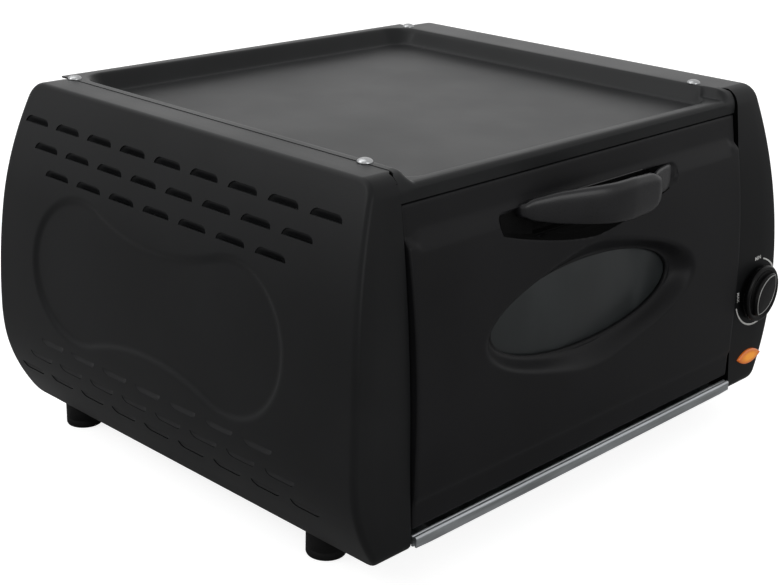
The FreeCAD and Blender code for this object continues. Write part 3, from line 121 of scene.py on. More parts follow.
class Graph:
    """A node tree with one way to add any node."""

    def __init__(self, tree: bpy.types.NodeTree) -> None:
        """Start on a tree."""
        self.tree = tree

    def node(self, kind: str, settings: dict[str, Any] | None = None,
             inputs: dict[Any, Any] | None = None, out: Any = 0) -> Sock:
        """Add a node, its settings first and then its inputs.

        Args:
            kind: the node's type name.
            settings: attribute values, such as a Math node's operation.
            inputs: values or sockets by input name or index.
            out: name or index of the output that is returned.
        Returns:
            The chosen output.
        """
        made = self.tree.nodes.new(kind)
        for key, value in (settings or {}).items():
            setattr(made, key, value)
        for key, value in (inputs or {}).items():
            target = made.inputs[key]
            if isinstance(value, Sock):
                self.tree.links.new(value.socket, target)
            else:
                target.default_value = value
        return Sock(self, made.outputs[out] if len(made.outputs) else None)

    def mix_colour(self, factor: Any, first: Sequence[float], second: Sequence[float]) -> Sock:
        """Blend two colours by a factor."""
        return self.node("ShaderNodeMix", {"data_type": "RGBA"},
                         {0: factor, 6: rgba(first), 7: rgba(second)}, out=2)

    def noise(self, scale: float, detail: float = 2.0,
              stretch: Sequence[float] = (1, 1, 1)) -> Sock:
        """Noise on the piece's own coordinates.

        Args:
            scale: features per metre, roughly.
            detail: octaves.
            stretch: factors on the coordinates, small along a brushed direction.
        Returns:
            Noise from 0 to 1.
        """
        coords = self.node("ShaderNodeTexCoord", out="Object")
        coords = self.node("ShaderNodeMapping", None, {"Vector": coords, "Scale": tuple(stretch)})
        return self.node("ShaderNodeTexNoise", None,
                         {"Vector": coords, "Scale": scale, "Detail": detail})

    def bump(self, strength: float, distance: float, height: Sock) -> Sock:
        """A bumped normal from a texture whose full height is a distance in metres."""
        return self.node("ShaderNodeBump", None,
                         {"Strength": strength, "Distance": distance, "Height": height})

    def vector(self, x: Any, y: Any, z: Any) -> Sock:
        """A vector from three values."""
        return self.node("ShaderNodeCombineXYZ", None, {"X": x, "Y": y, "Z": z})

    def position(self) -> list[Sock]:
        """The three coordinates of a geometry's points."""
        spot = self.node("GeometryNodeInputPosition")
        axes = self.node("ShaderNodeSeparateXYZ", None, {0: spot})
        return [Sock(self, output) for output in axes.socket.node.outputs]


def rgba(colour: Any) -> Any:
    """A colour with alpha, or the socket it already is."""
    if isinstance(colour, Sock):
        return colour
    return (*colour[:3], 1.0)


# ---- finishes -----------------------------------------------------------------------------------
@dataclass(frozen=True)
class Finish:
    """A finish: one material, made once and shared."""

    name: str
    slot: str
    colour: Triple = (0.02, 0.02, 0.02)
    roughness: float = 0.4
    metallic: float = 0.0
    specular: float = 0.5

    def material(self) -> bpy.types.Material:
        """The finish's material, made on its first use."""
        made = bpy.data.materials.get(self.name)
        if made:
            return made
        made = bpy.data.materials.new(self.name)
        made.use_nodes = True
        made.node_tree.nodes.clear()
        graph = Graph(made.node_tree)
        surface = self.shade(graph)
        graph.node("ShaderNodeOutputMaterial", None, {"Surface": surface})
        made.diffuse_color = rgba(self.colour)
        made.roughness = self.roughness
        return made

    def shade(self, graph: Graph) -> Sock:
        """The plain form: slight drift of tone and roughness."""
        drift = graph.noise(35.0, 3.0)
        tint = self.tone(graph, drift.ramp(*MID_BAND), 0.9, 1.1)
        return self.principled(graph, tint, self.worn(drift, WIDE_BAND, 0.92, 1.08))

    def tone(self, graph: Graph, factor: Any, low: float, high: float) -> Sock:
        """The colour made darker or lighter by a factor."""
        return graph.mix_colour(factor, [c * low for c in self.colour],
                                [c * high for c in self.colour])

    def worn(self, texture: Sock, band: Sequence[float], low: float, high: float) -> Sock:
        """The roughness times a low factor, or a high one where a texture passes its band."""
        return texture.ramp(*band, self.roughness * low, self.roughness * high)

    def principled(self, graph: Graph, colour: Any, roughness: Any, normal: Any = None,
                   **extra: Any) -> Sock:
        """The Principled shader with this finish's constants on its own sockets."""
        values = {"Base Color": colour, "Roughness": roughness, "Metallic": self.metallic,
                  "Specular IOR Level": self.specular}
        if normal is not None:
            values["Normal"] = normal
        values.update({key.replace("_", " "): value for key, value in extra.items()})
        return graph.node("ShaderNodeBsdfPrincipled", None, values)


@dataclass(frozen=True)
class Enamel(Finish):
    """Sprayed black enamel: fine orange peel, faint dust and rubbed patches."""

    peel_scale: float = 1100.0
    peel: float = 0.05
    dust: float = 0.35
    dust_scale: float = 2600.0
    dust_band: Pair = (0.74, 0.80)
    drift_scale: float = 14.0
    patch_scale: float = 40.0

    def shade(self, graph: Graph) -> Sock:
        """Paint with orange peel, drifting gloss and sparse dust."""
        drift = graph.noise(self.drift_scale, 4.0)
        patches = graph.noise(self.patch_scale, 2.0).ramp(0.4, 0.7)
        specks = graph.noise(self.dust_scale, 1.0).ramp(*self.dust_band) * patches
        tint = self.tone(graph, drift.ramp(*MID_BAND), 0.88, 1.12)
        tint = graph.mix_colour(specks * self.dust, tint, [4 * c + 0.02 for c in self.colour])
        rough = self.worn(drift, WIDE_BAND, 0.9, 1.1) + specks * 0.1
        bump = graph.bump(self.peel, MM, graph.noise(self.peel_scale, 2.0))
        return self.principled(graph, tint, rough, bump)


@dataclass(frozen=True)
class Brushed(Finish):
    """Bright sheet metal with drawn lines along one direction."""

    along: Triple = (0.03, 1.0, 1.0)
    streak: float = 0.25
    metallic: float = 1.0
    line_scale: float = 900.0
    line_bump: float = 0.08
    stain_scale: float = 22.0

    def shade(self, graph: Graph) -> Sock:
        """Metal with streaks and slow stains."""
        lines = graph.noise(self.line_scale, 3.0, self.along)
        stain = graph.noise(self.stain_scale, 4.0)
        tint = self.tone(graph, lines.ramp(*MID_BAND) * 0.5 + stain.ramp(*MID_BAND) * 0.5,
                         1 - self.streak, 1 + self.streak / 3)
        rough = self.worn(lines, MID_BAND, 0.85, 1.2)
        return self.principled(graph, tint, rough, graph.bump(self.line_bump, MM / 4, lines))


@dataclass(frozen=True)
class Moulded(Finish):
    """Moulded plastic or rubber with a fine grain."""

    grain_scale: float = 1800.0
    grain: float = 0.12
    drift_scale: float = 60.0

    def shade(self, graph: Graph) -> Sock:
        """Plastic with grain and drifting tone."""
        drift = graph.noise(self.drift_scale, 3.0)
        texture = graph.noise(self.grain_scale, 2.0)
        tint = self.tone(graph, drift.ramp(*MID_BAND), 0.85, 1.15)
        rough = self.worn(texture, MID_BAND, 0.9, 1.12)
        return self.principled(graph, tint, rough, graph.bump(self.grain, MM / 3, texture))


@dataclass(frozen=True)
class TintedGlass(Finish):
    """Dark pane that still lets a little of the oven show."""

    clearness: float = 0.35
    index: float = 1.5
    smear_scale: float = 30.0

    def shade(self, graph: Graph) -> Sock:
        """Glass with faint smears."""
        smear = graph.noise(self.smear_scale, 4.0, (1.0, 1.0, 0.4))
        tint = self.tone(graph, smear.ramp(*MID_BAND), 0.9, 1.1)
        rough = self.worn(smear, (0.45, 0.75), 1.0, 2.5)
        return self.principled(graph, tint, rough, Transmission_Weight=self.clearness,
                               IOR=self.index)


@dataclass(frozen=True)
class LitLens(Finish):
    """Amber lens: bright in its middle, deeper at the rim."""

    centre: Triple = (0.0, 0.0, 0.0)
    half: Pair = (0.014, 0.0047)
    core: Triple = (0.92, 0.33, 0.012)
    glow: float = 0.3
    rib_scale: float = 700.0
    rib_bump: float = 0.25
    coat: float = 0.6
    coat_roughness: float = 0.08

    def shade(self, graph: Graph) -> Sock:
        """Amber plastic with a soft core and fine ribs."""
        coords = graph.node("ShaderNodeTexCoord", out="Object")
        scale = (1 / self.half[0], 0.0, 1 / self.half[1])
        shift = tuple(-c * s for c, s in zip(self.centre, scale))
        coords = graph.node("ShaderNodeMapping", None,
                            {"Vector": coords, "Location": shift, "Scale": scale})
        reach = graph.node("ShaderNodeVectorMath", {"operation": "LENGTH"}, {0: coords},
                           out="Value")
        ribs = graph.noise(self.rib_scale, 1.0, (1.0, 1.0, 0.2))
        heart = reach.ramp(0.95, 0.2) * (0.75 + ribs * 0.5)
        tint = graph.mix_colour(heart, self.colour, self.core)
        bump = graph.bump(self.rib_bump, MM / 2, ribs)
        return self.principled(graph, tint, self.roughness, bump,
                               Emission_Color=tint, Emission_Strength=self.glow,
                               Coat_Weight=self.coat, Coat_Roughness=self.coat_roughness)


@dataclass(frozen=True)
class Ceramic(Finish):
    """Glazed off-white ceramic with a few grey specks."""

    speck_scale: float = 900.0
    speck_band: Pair = (0.68, 0.74)
    speck_tone: float = 0.4
    glaze_scale: float = 80.0
    glaze_roughness: Pair = (0.2, 0.35)

    def shade(self, graph: Graph) -> Sock:
        """Glaze with specks."""
        specks = graph.noise(self.speck_scale, 1.0).ramp(*self.speck_band)
        tint = graph.mix_colour(specks, self.colour, [self.speck_tone * c for c in self.colour])
        rough = graph.noise(self.glaze_scale).ramp(*MID_BAND, *self.glaze_roughness)
        return self.principled(graph, tint, rough)


PANEL_BLACK = Enamel("panel_black", "black_paint", (0.0092, 0.0095, 0.0100), 0.42, specular=0.1)
DOOR_BLACK = Enamel("door_black", "black_paint", (0.0088, 0.0088, 0.0095), 0.4, specular=0.09)
TRAY_BLACK = Enamel("tray_black", "tray_paint", (0.014, 0.0145, 0.015), 0.34, specular=0.1)
HANDLE_BLACK = Moulded("handle_black", "handle_metal", (0.0095, 0.0095, 0.0105), 0.3, specular=0.26,
                       grain=0.05)
KNOB_BLACK = Moulded("knob_black", "knob_plastic", (0.003, 0.003, 0.0033), 0.24, specular=0.12,
                     grain=0.03)
# Near-black: the finger cup's own plastic, and painted shade on the recess plate and on the panels'
# front return strips.
BLACK_AND_PAINTED_SHADE = Moulded("cup_black_and_painted_shade", "black_plastic", (0.0014, 0.0014, 0.0014), 0.6, specular=0.04)
FOOT_BLACK = Moulded("foot_rubber_black", "foot_rubber", (0.0075, 0.0075, 0.0077), 0.6,
                     specular=0.08, grain_scale=900.0, grain=0.3)
TRAY_METAL = Brushed("crumb_tray_metal", "tray_metal", (0.44, 0.46, 0.475), 0.42)
LINER_STEEL = Brushed("liner_steel", "bright_steel", (0.42, 0.42, 0.41), 0.32, along=(1, 1, 0.04))
BASE_ZINC = Brushed("base_zinc", "galvanised", (0.42, 0.43, 0.44), 0.45, streak=0.4)
RACK_CHROME = Brushed("rack_chrome_plate", "rack_chrome", (0.62, 0.62, 0.62), 0.18, streak=0.1)
SCREW_CHROME = Brushed("screw_chrome_plate", "screw_chrome", (0.33, 0.335, 0.34), 0.3, streak=0.15,
                       along=(1, 1, 1))
SCREW_STEEL = Brushed("screw_zinc", "screw_steel", (0.45, 0.45, 0.43), 0.35, along=(1, 1, 1))
BRASS_TURNED = Brushed("brass_turned", "brass", (0.62, 0.42, 0.16), 0.3, along=(1, 0.1, 1))
HEATER_SHEATH = Moulded("heater_oxide", "heater_sheath", (0.035, 0.032, 0.03), 0.6, metallic=0.4,
                        grain_scale=1200.0)
CERAMIC_WHITE = Ceramic("ceramic_glaze", "ceramic", (0.72, 0.70, 0.64), 0.3)
WINDOW_TINT = TintedGlass("window_tint", "window_glass", (0.029, 0.033, 0.034), 0.3, specular=0.16)
TERMINAL_WHITE = Moulded("terminal_white", "white_plastic", (0.68, 0.68, 0.64), 0.45)
BLOCK_BLACK = Moulded("block_black", "black_plastic", (0.012, 0.012, 0.012), 0.5)
PRINT_WHITE = Finish("print_white", "black_paint", (0.62, 0.62, 0.6), 0.5)
# Painted light: a lighter copy of the panel paint for the lower louvre tongues, which face up into
# the light.
LOUVRE_PAINTED_LIGHT = Finish("louvre_painted_light", "black_paint", (0.018, 0.0182, 0.019), 0.42, specular=0.12)
# Painted highlight: lighter, glossier paint for the strip on the recess's upper edge.
EDGE_PAINTED_HIGHLIGHT = Finish("edge_painted_highlight", "black_paint", (0.03, 0.03, 0.031), 0.35, specular=0.4)
# Painted highlight: bright metallic line round the knob blade's edge.
BLADE_PAINTED_HIGHLIGHT = Finish("blade_painted_highlight", "knob_plastic", (0.34, 0.34, 0.33), 0.35, metallic=0.6)


# ---- mesh helpers -------------------------------------------------------------------------------
class Body(Enum):
    """The bodies that pieces ride on."""

    CASING = "casing"
    DOOR = "door"
    CRUMB_TRAY = "crumb_tray"
    KNOB = "knob"


def smooth(value: Any) -> Any:
    """A soft step from 0 to 1, held beyond both ends."""
    value = np.clip(value, 0.0, 1.0)
    return value * value * (3 - 2 * value)


def smooth_max(a: Array, b: Array, blend: float) -> Array:
    """The larger of two, rounded where they meet within a blend length."""
    return (a + b + np.sqrt((a - b) ** 2 + blend ** 2)) / 2 - blend / 8


def unit(vectors: Array) -> Array:
    """Vectors scaled to length 1."""
    return vectors / np.linalg.norm(vectors, axis=-1, keepdims=True)


def slerp(start: Array, end: Array, share: float) -> Array:
    """Unit vectors turned part of the way from one set to another."""
    angle = np.arccos(np.clip((start * end).sum(-1, keepdims=True), -1, 1))
    sine = np.maximum(np.sin(angle), 1e-9)
    mixed = (np.sin((1 - share) * angle) * start + np.sin(share * angle) * end) / sine
    return unit(np.where(angle < 1e-4, start, mixed))


def arc_radius(rise: float, sag: float) -> float:
    """Radius of an arc that starts square and gives way by sag over rise."""
    return (rise * rise + sag * sag) / (2 * sag)


def rounded_box_distance(x: Array, y: Array, half_x: float, half_y: float, corner: float) -> Array:
    """Signed distance to a rounded rectangle about the origin, negative inside."""
    qx, qy = np.abs(x) - half_x + corner, np.abs(y) - half_y + corner
    outside = np.hypot(np.maximum(qx, 0), np.maximum(qy, 0))
    return outside + np.minimum(np.maximum(qx, qy), 0) - corner


def graded(stops: Sequence[Pair]) -> Array:
    """Positions along a line with a step of their own between each two stops.

    Args:
        stops: pairs of position and the step that leads up to it.
    Returns:
        The positions, ends included.
    """
    places = [stops[0][0]]
    for (start, _), (end, step) in zip(stops, stops[1:]):
        count = max(1, round(abs(end - start) / step))
        places.extend(start + (end - start) * k / count for k in range(1, count + 1))
    return np.array(places)


def xyz(x: Any, y: Any, z: Any) -> Array:
    """Points from their coordinates, any of which may be one number for all."""
    return np.stack(np.broadcast_arrays(x, y, z), -1)


def full_turn(steps: int) -> Array:
    """Angles once round, in radians."""
    return np.linspace(0, 2 * math.pi, steps, endpoint=False)


def quarter_turn(steps: int) -> Array:
    """Angles from 0 to 90 degrees, in radians."""
    return np.radians(np.linspace(0, 90, steps))


def leaf_outline(half_length: float, half_width: float, count: int) -> Array:
    """A leaf between two equal arcs, as pairs of positions along and across it."""
    radius = arc_radius(half_length, half_width)
    reach = math.asin(half_length / radius)
    angles = np.linspace(-reach, reach, count)
    upper = np.stack([radius * np.sin(angles), radius * np.cos(angles) - radius + half_width], 1)
    return np.concatenate([upper, (upper * (1, -1))[::-1][1:-1]])


def linked(name: str, data: Any) -> Piece:
    """Make an object from its data and put it in the scene."""
    made = bpy.data.objects.new(name, data)
    bpy.context.scene.collection.objects.link(made)
    return made


@contextmanager
def editing(mesh: bpy.types.Mesh) -> Iterator[bmesh.types.BMesh]:
    """Open a mesh for editing and write it back at the end."""
    work = bmesh.new()
    work.from_mesh(mesh)
    yield work
    work.to_mesh(mesh)
    work.free()


def coated(mesh: bpy.types.Mesh, finish: Finish) -> None:
    """Give a mesh one finish in place of all that it had."""
    mesh.materials.clear()
    mesh.materials.append(finish.material())


def mesh_object(name: str, points: Array, faces: Iterable[Sequence[int]], finish: Finish,
                merge: float = 0.0) -> Piece:
    """Make an object from points in millimetres.

    Args:
        name: the piece's name.
        points: corner positions, in millimetres.
        faces: corner indices of each face.
        finish: the material it gets.
        merge: distance in millimetres within which corners are joined, or 0.
    Returns:
        The object, shaded smooth.
    """
    mesh = bpy.data.meshes.new(name)
    mesh.from_pydata((np.asarray(points) * MM).tolist(), [], [list(f) for f in faces])
    if merge:
        with editing(mesh) as work:
            bmesh.ops.remove_doubles(work, verts=work.verts, dist=merge * MM)
    mesh.validate()
    mesh.materials.append(finish.material())
    mesh.polygons.foreach_set("use_smooth", [True] * len(mesh.polygons))
    return linked(name, mesh)


def grid_faces(rows: int, columns: int, flip: bool = False) -> Faces:
    """Quads of a grid whose corners are stored row by row."""
    faces = []
    for r in range(rows - 1):
        for a in range(r * columns, (r + 1) * columns - 1):
            quad = [a, a + 1, a + columns + 1, a + columns]
            faces.append(quad[::-1] if flip else quad)
    return faces


def ring_faces(rings: Sequence[Sequence[int]]) -> Faces:
    """Quads between closed rings of corner indices, triangles where two corners are one."""
    faces = []
    for inner, outer in zip(rings, rings[1:]):
        count = len(inner)
        for k in range(count):
            quad = [inner[k], inner[(k + 1) % count], outer[(k + 1) % count], outer[k]]
            kept = [v for i, v in enumerate(quad) if v != quad[i - 1]]
            if len(kept) > 2:
                faces.append(kept)
    return faces


def perimeter(rows: int, columns: int) -> list[tuple[int, int]]:
    """Cells round the edge of a grid, from (0, 0) along its first column and once round."""
    cells = [(r, 0) for r in range(rows - 1)] + [(rows - 1, c) for c in range(columns - 1)]
    cells += [(r, columns - 1) for r in range(rows - 1, 0, -1)]
    return cells + [(0, c) for c in range(columns - 1, 0, -1)]


class FoldedSheet:
    """A grid of points and the rings that fold its edge over and lead it on."""

    def __init__(self, face: Array) -> None:
        """Start with the grid."""
        self.shape = face.shape[:2]
        self.points = [face.reshape(-1, 3)]
        self.rings = []

    def add(self, ring: Array) -> None:
        """Add a ring of points."""
        start = sum(len(p) for p in self.points)
        self.points.append(ring)
        self.rings.append(list(range(start, start + len(ring))))

    def fold_edge(self, cells: Sequence[tuple[int, int]], hub: Array, normal: Array, out: Array,
                  fold: float, steps: int) -> Array:
        """Turn the edge from the face's normal to an outward direction.

        Args:
            cells: grid cells round the edge, repeated where a corner turns.
            hub: grid of the points the fold turns about.
            normal: grid of the face's normals.
            out: outward direction at each cell.
            fold: radius of the fold.
            steps: how many rings it takes.
        Returns:
            The points at which the fold ends.
        """
        index = np.array([r * self.shape[1] + c for r, c in cells])
        self.rings.append(index.tolist())
        hub, start = hub.reshape(-1, 3)[index], normal.reshape(-1, 3)[index]
        for k in range(1, steps + 1):
            self.add(hub + fold * slerp(start, out, k / steps))
        return hub + fold * out

    def mesh(self) -> tuple[Array, Faces]:
        """Points and faces of the whole sheet."""
        return np.concatenate(self.points), grid_faces(*self.shape) + ring_faces(self.rings)


def loft(sections: Sequence[Array], close_ends: bool = True) -> tuple[Array, Faces]:
    """Join closed sections of equal count, in order, into one surface.

    Args:
        sections: arrays of points, one for each station.
        close_ends: whether both ends get a fan to their middle.
    Returns:
        Points and faces.
    """
    count = len(sections[0])
    points = np.concatenate(sections)
    rings = [list(range(k * count, (k + 1) * count)) for k in range(len(sections))]
    faces = ring_faces(rings)
    if close_ends:
        for ring, flip in ((rings[0], True), (rings[-1], False)):
            middle = len(points)
            points = np.vstack([points, points[ring].mean(0)])
            for k in range(count):
                face = [ring[k], ring[(k + 1) % count], middle]
                faces.append(face[::-1] if flip else face)
    return points, faces


def lathe(profile: Sequence[Pair], steps: int) -> tuple[Array, Faces]:
    """Turn a profile of (radius, height) pairs round +Z, its ends closed to the axis."""
    turns = full_turn(steps)
    return loft([xyz(r * np.cos(turns), r * np.sin(turns), h) for r, h in profile])


def recalculated(piece: Piece) -> Piece:
    """Turn a closed piece's faces outwards."""
    with editing(piece.data) as work:
        bmesh.ops.recalc_face_normals(work, faces=work.faces)
    return piece


def modified(piece: Piece, kind: str, **settings: Any) -> Piece:
    """Add a modifier with settings."""
    modifier = piece.modifiers.new(kind.lower(), kind)
    for key, value in settings.items():
        setattr(modifier, key, value)
    return piece


def applied(piece: Piece) -> Piece:
    """Turn a piece with its modifiers into a plain mesh."""
    bpy.context.view_layer.update()
    evaluated = piece.evaluated_get(bpy.context.evaluated_depsgraph_get())
    mesh = bpy.data.meshes.new_from_object(evaluated)
    piece.modifiers.clear()
    piece.data = mesh
    mesh.name = piece.name
    return piece


def thickened(piece: Piece, thickness: float, offset: float = -1.0,
              **settings: Any) -> Piece:
    """Give an open sheet a thickness in millimetres."""
    return applied(modified(piece, "SOLIDIFY", thickness=thickness * MM, offset=offset,
                            **settings))


def creased(piece: Piece, degrees: float = 35.0) -> Piece:
    """Shade smooth, with a sharp edge wherever faces meet at more than an angle."""
    mesh = piece.data
    mesh.polygons.foreach_set("use_smooth", [True] * len(mesh.polygons))
    limit = math.radians(degrees)
    with editing(mesh) as work:
        for edge in work.edges:
            edge.smooth = edge.is_manifold and edge.calc_face_angle(0.0) < limit
    return piece


def solid(name: str, points: Array, faces: Iterable[Sequence[int]], finish: Finish,
          degrees: float = 50.0) -> Piece:
    """A closed piece with outward faces and sharp edges above an angle."""
    return creased(recalculated(mesh_object(name, points, faces, finish)), degrees)


def cut(piece: Piece, cutters: Sequence[Piece]) -> Piece:
    """Cut closed cutters out of a piece and throw them away."""
    for cutter in cutters:
        modified(piece, "BOOLEAN", operation="DIFFERENCE", solver="EXACT", object=cutter)
    applied(piece)
    for cutter in cutters:
        bpy.data.objects.remove(cutter)
    return piece


def prism(name: str, near: Array, far: Array, finish: Finish) -> Piece:
    """A closed prism between two outlines in millimetres."""
    points, faces = loft([near, far])
    return recalculated(mesh_object(name, points, faces, finish))


def place(piece: Piece, body: Body, finish: Finish, *nodes: str) -> Piece:
    """Attach a finished piece to its body and hide the solids it stands for."""
    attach(piece, body.value)
    if nodes:
        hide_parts(*nodes)
    LOG.info("%s: %d faces on %s", piece.name, len(piece.data.polygons), body.value)
    return piece


def dressed_copy(node: str, body: Body, finish: Finish, bevel: float = 0.3,
                 name: str = "") -> Piece:
    """Copy a solid's mesh, merge it, round its edges and let the copy stand for it.

    Args:
        node: the CAD node.
        body: the body it rides on.
        finish: the material it gets.
        bevel: width of the rounded edges, in millimetres.
        name: name of the piece, or the node's name with _piece.
    Returns:
        The new piece.
    """
    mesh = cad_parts[node].data.copy()
    made = linked(name or node + "_piece", mesh)
    with editing(mesh) as work:
        bmesh.ops.remove_doubles(work, verts=work.verts, dist=MERGE * MM)
        bmesh.ops.dissolve_limit(work, angle_limit=math.radians(1.0), verts=work.verts,
                                 edges=work.edges)
    coated(mesh, finish)
    if bevel:
        modified(made, "BEVEL", width=bevel * MM, segments=2, limit_method="ANGLE",
                 angle_limit=math.radians(COPY_CREASE), harden_normals=False)
        applied(made)
    creased(made, COPY_CREASE)
    return place(made, body, finish, node)


def reshaped(piece: Piece, rule: Callable[[Array], Array]) -> Piece:
    """Move a piece's corners by a rule on their positions in millimetres."""
    points = np.empty(len(piece.data.vertices) * 3)
    piece.data.vertices.foreach_get("co", points)
    moved = rule(points.reshape(-1, 3) / MM) * MM
    piece.data.vertices.foreach_set("co", moved.ravel())
    piece.data.update()
    return piece


def tucked(points: Array) -> Array:
    """Keep corners inside the side panels' sheet."""
    level = np.clip(points[:, 2], CASING.base, CASING.top)
    left, right = (form.barrel(level, 0.0)[0] - PANEL_GAP for form in (CASING, RIGHT_CASING))
    points[:, 0] = np.clip(points[:, 0], -left, right)
    return points


def refinish(finish: Finish, *nodes: str) -> None:
    """Give CAD nodes whose shape is right a better material."""
    for node in nodes:
        coated(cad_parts[node].data, finish)


# ---- geometry node patterns ---------------------------------------------------------------------
Form = Callable[[Graph, dict[str, Sock]], Sock]


@dataclass
class Pattern:
    """A geometry node tree that puts one small form at each of a set of points.

    The inputs are sizes in millimetres.
    """

    name: str
    finish: Finish
    inputs: dict[str, float] = field(default_factory=dict)

    def tree(self, form: Form) -> bpy.types.NodeTree:
        """Build the tree.

        Args:
            form: makes the geometry of one copy from the named inputs.
        Returns:
            The tree, which ends in Realize Instances and Set Material.
        """
        tree = bpy.data.node_groups.new(self.name, "GeometryNodeTree")
        tree.interface.new_socket("Geometry", in_out="INPUT", socket_type="NodeSocketGeometry")
        for key, value in self.inputs.items():
            socket = tree.interface.new_socket(key, in_out="INPUT", socket_type="NodeSocketFloat")
            socket.default_value = value * MM
        tree.interface.new_socket("Geometry", in_out="OUTPUT", socket_type="NodeSocketGeometry")
        graph = Graph(tree)
        start = tree.nodes.new("NodeGroupInput")
        sizes = {key: Sock(graph, start.outputs[key]) for key in self.inputs}
        turn = graph.node("GeometryNodeInputNamedAttribute", {"data_type": "FLOAT_VECTOR"},
                          {"Name": "turn"})
        turn = graph.node("FunctionNodeEulerToRotation", None, {0: turn})
        copies = graph.node("GeometryNodeInstanceOnPoints", None,
                            {"Points": Sock(graph, start.outputs["Geometry"]),
                             "Instance": form(graph, sizes), "Rotation": turn})
        real = graph.node("GeometryNodeRealizeInstances", None, {0: copies})
        done = graph.node("GeometryNodeSetMaterial", None,
                          {"Geometry": real, "Material": self.finish.material()})
        end = tree.nodes.new("NodeGroupOutput")
        tree.links.new(done.socket, end.inputs["Geometry"])
        return tree

    def piece(self, points: Array, turns: Array, form: Form) -> Piece:
        """Make the copies as one plain mesh.

        Args:
            points: places of the copies, in millimetres.
            turns: Euler angles of the copies, in radians.
            form: makes the geometry of one copy.
        Returns:
            The piece, without a modifier.
        """
        mesh = bpy.data.meshes.new(self.name)
        mesh.from_pydata((np.asarray(points) * MM).tolist(), [], [])
        turn = mesh.attributes.new("turn", "FLOAT_VECTOR", "POINT")
        turn.data.foreach_set("vector", np.asarray(turns, float).ravel())
        made = linked(self.name, mesh)
        modifier = made.modifiers.new("pattern", "NODES")
        modifier.node_group = self.tree(form)
        for item in modifier.node_group.interface.items_tree:
            if item.in_out == "INPUT" and item.name in self.inputs:
                modifier[item.identifier] = self.inputs[item.name] * MM
        return applied(made)


# ---- casing -------------------------------------------------------------------------------------
@dataclass(frozen=True)
class Casing:
    """The casing's outer form, shared by all panels."""

    front: float = -152.0
    back: float = 168.5
    base: float = 20.0
    top: float = 225.0
    widest_z: float = 84.0
    half: float = 200.5
    top_half: float = 180.5
    base_half: float = 186.0
    front_setback: float = 19.0
    back_setback: float = 8.0
    base_back_setback: float = 6.0
    top_corner: float = 11.0
    base_corner: float = 9.0
    opening_half: float = 155.5
    fold: float = 3.5
    dip: float = 4.4
    dip_from: float = 25.0
    dip_span: float = 190.0
    dip_power: float = 0.8
    shoulder: Pair = (8.5, 150.0)
    tuck: Pair = (6.5, 70.0)

    def barrel(self, z: Array, inset: float) -> tuple[Array, Array, Array]:
        """Right-hand side surface in front view.

        Args:
            z: heights on the inset curve.
            inset: distance inside the outer surface.
        Returns:
            Half-width, and the outward normal's x and z.
        """
        z = np.asarray(z, float)
        upper = arc_radius(self.top - self.widest_z, self.half - self.top_half)
        lower = arc_radius(self.widest_z - self.base, self.half - self.base_half)
        radius = np.where(z > self.widest_z, upper, lower)
        rise = z - self.widest_z
        reach = np.sqrt((radius - inset) ** 2 - rise ** 2)
        high, low = self.top - self.shoulder[1], self.tuck[1] - self.base
        up = np.clip((z - self.shoulder[1]) / high, 0.0, 1.0)
        down = np.clip((self.tuck[1] - z) / low, 0.0, 1.0)
        lean = rise / reach + 2 * self.shoulder[0] * up / high - 2 * self.tuck[0] * down / low
        size = np.hypot(1.0, lean)
        half = self.half - radius + reach - self.shoulder[0] * up ** 2 - self.tuck[0] * down ** 2
        return half, 1 / size, lean / size

    def end(self, z: Array, inset: float, at_front: bool) -> tuple[Array, Array]:
        """Front or back curve in side view, corners left square.

        Args:
            z: heights on the inset curve.
            inset: distance inside the outer surface.
            at_front: True for the front, False for the back.
        Returns:
            Depth position, and the rise of the outward normal.
        """
        rise = np.asarray(z, float) - self.widest_z
        up = arc_radius(self.top - self.widest_z, self.front_setback if at_front
                        else self.back_setback)
        down = STRAIGHT if at_front else arc_radius(self.widest_z - self.base,
                                                    self.base_back_setback)
        radius = np.where(rise > 0, up, down) - inset
        sag = radius - np.sqrt(radius ** 2 - rise ** 2)
        depth = self.front + inset + sag if at_front else self.back - inset - sag
        return depth, rise / radius

    def cornered_end(self, z: Array, inset: float, at_front: bool) -> tuple[Array, Array, Array]:
        """Front or back curve with its top and bottom corners rounded.

        Args:
            z: heights on the inset curve.
            inset: distance inside the outer surface.
            at_front: True for the front, False for the back.
        Returns:
            Depth position, and the outward normal's y and z.
        """
        z = np.asarray(z, float)
        side = -1.0 if at_front else 1.0
        depth, lift = self.end(z, inset, at_front)
        ny, nz = side * np.sqrt(1 - lift ** 2), lift
        for corner, level, turn in ((self.top_corner, self.top, 1),
                                    (self.base_corner, self.base, -1)):
            centre_z = level - turn * corner
            centre_y, slope = self.end(centre_z, corner, at_front)
            radius = corner - inset
            rise = (z - centre_z) * turn
            inside = rise > slope * turn * radius
            run = np.sqrt(np.maximum(radius ** 2 - rise ** 2, 0.0))
            depth = np.where(inside, centre_y + side * run, depth)
            ny = np.where(inside, side * run / radius, ny)
            nz = np.where(inside, turn * np.minimum(rise / radius, 1.0), nz)
        return depth, ny, nz

    def flange_dip(self, z: Array) -> Array:
        """How far a front flange's inner edge lies behind its outer one at a height."""
        share = np.clip((np.asarray(z, float) - self.dip_from) / self.dip_span, 0.0, 1.0)
        return self.dip * np.sin(math.pi * share) ** self.dip_power

    def flange_at(self, x: Array, z: Array) -> Array:
        """Depth position of the right-hand front flange."""
        outer = self.barrel(z, self.fold)[0]
        share = np.clip((outer - x) / (outer - self.opening_half), 0.0, 1.0)
        return self.end(z, 0.0, True)[0] + share * self.flange_dip(z)


CASING = Casing()
RIGHT_CASING = Casing(shoulder=(1.5, 150.0), tuck=(0.8, 70.0))


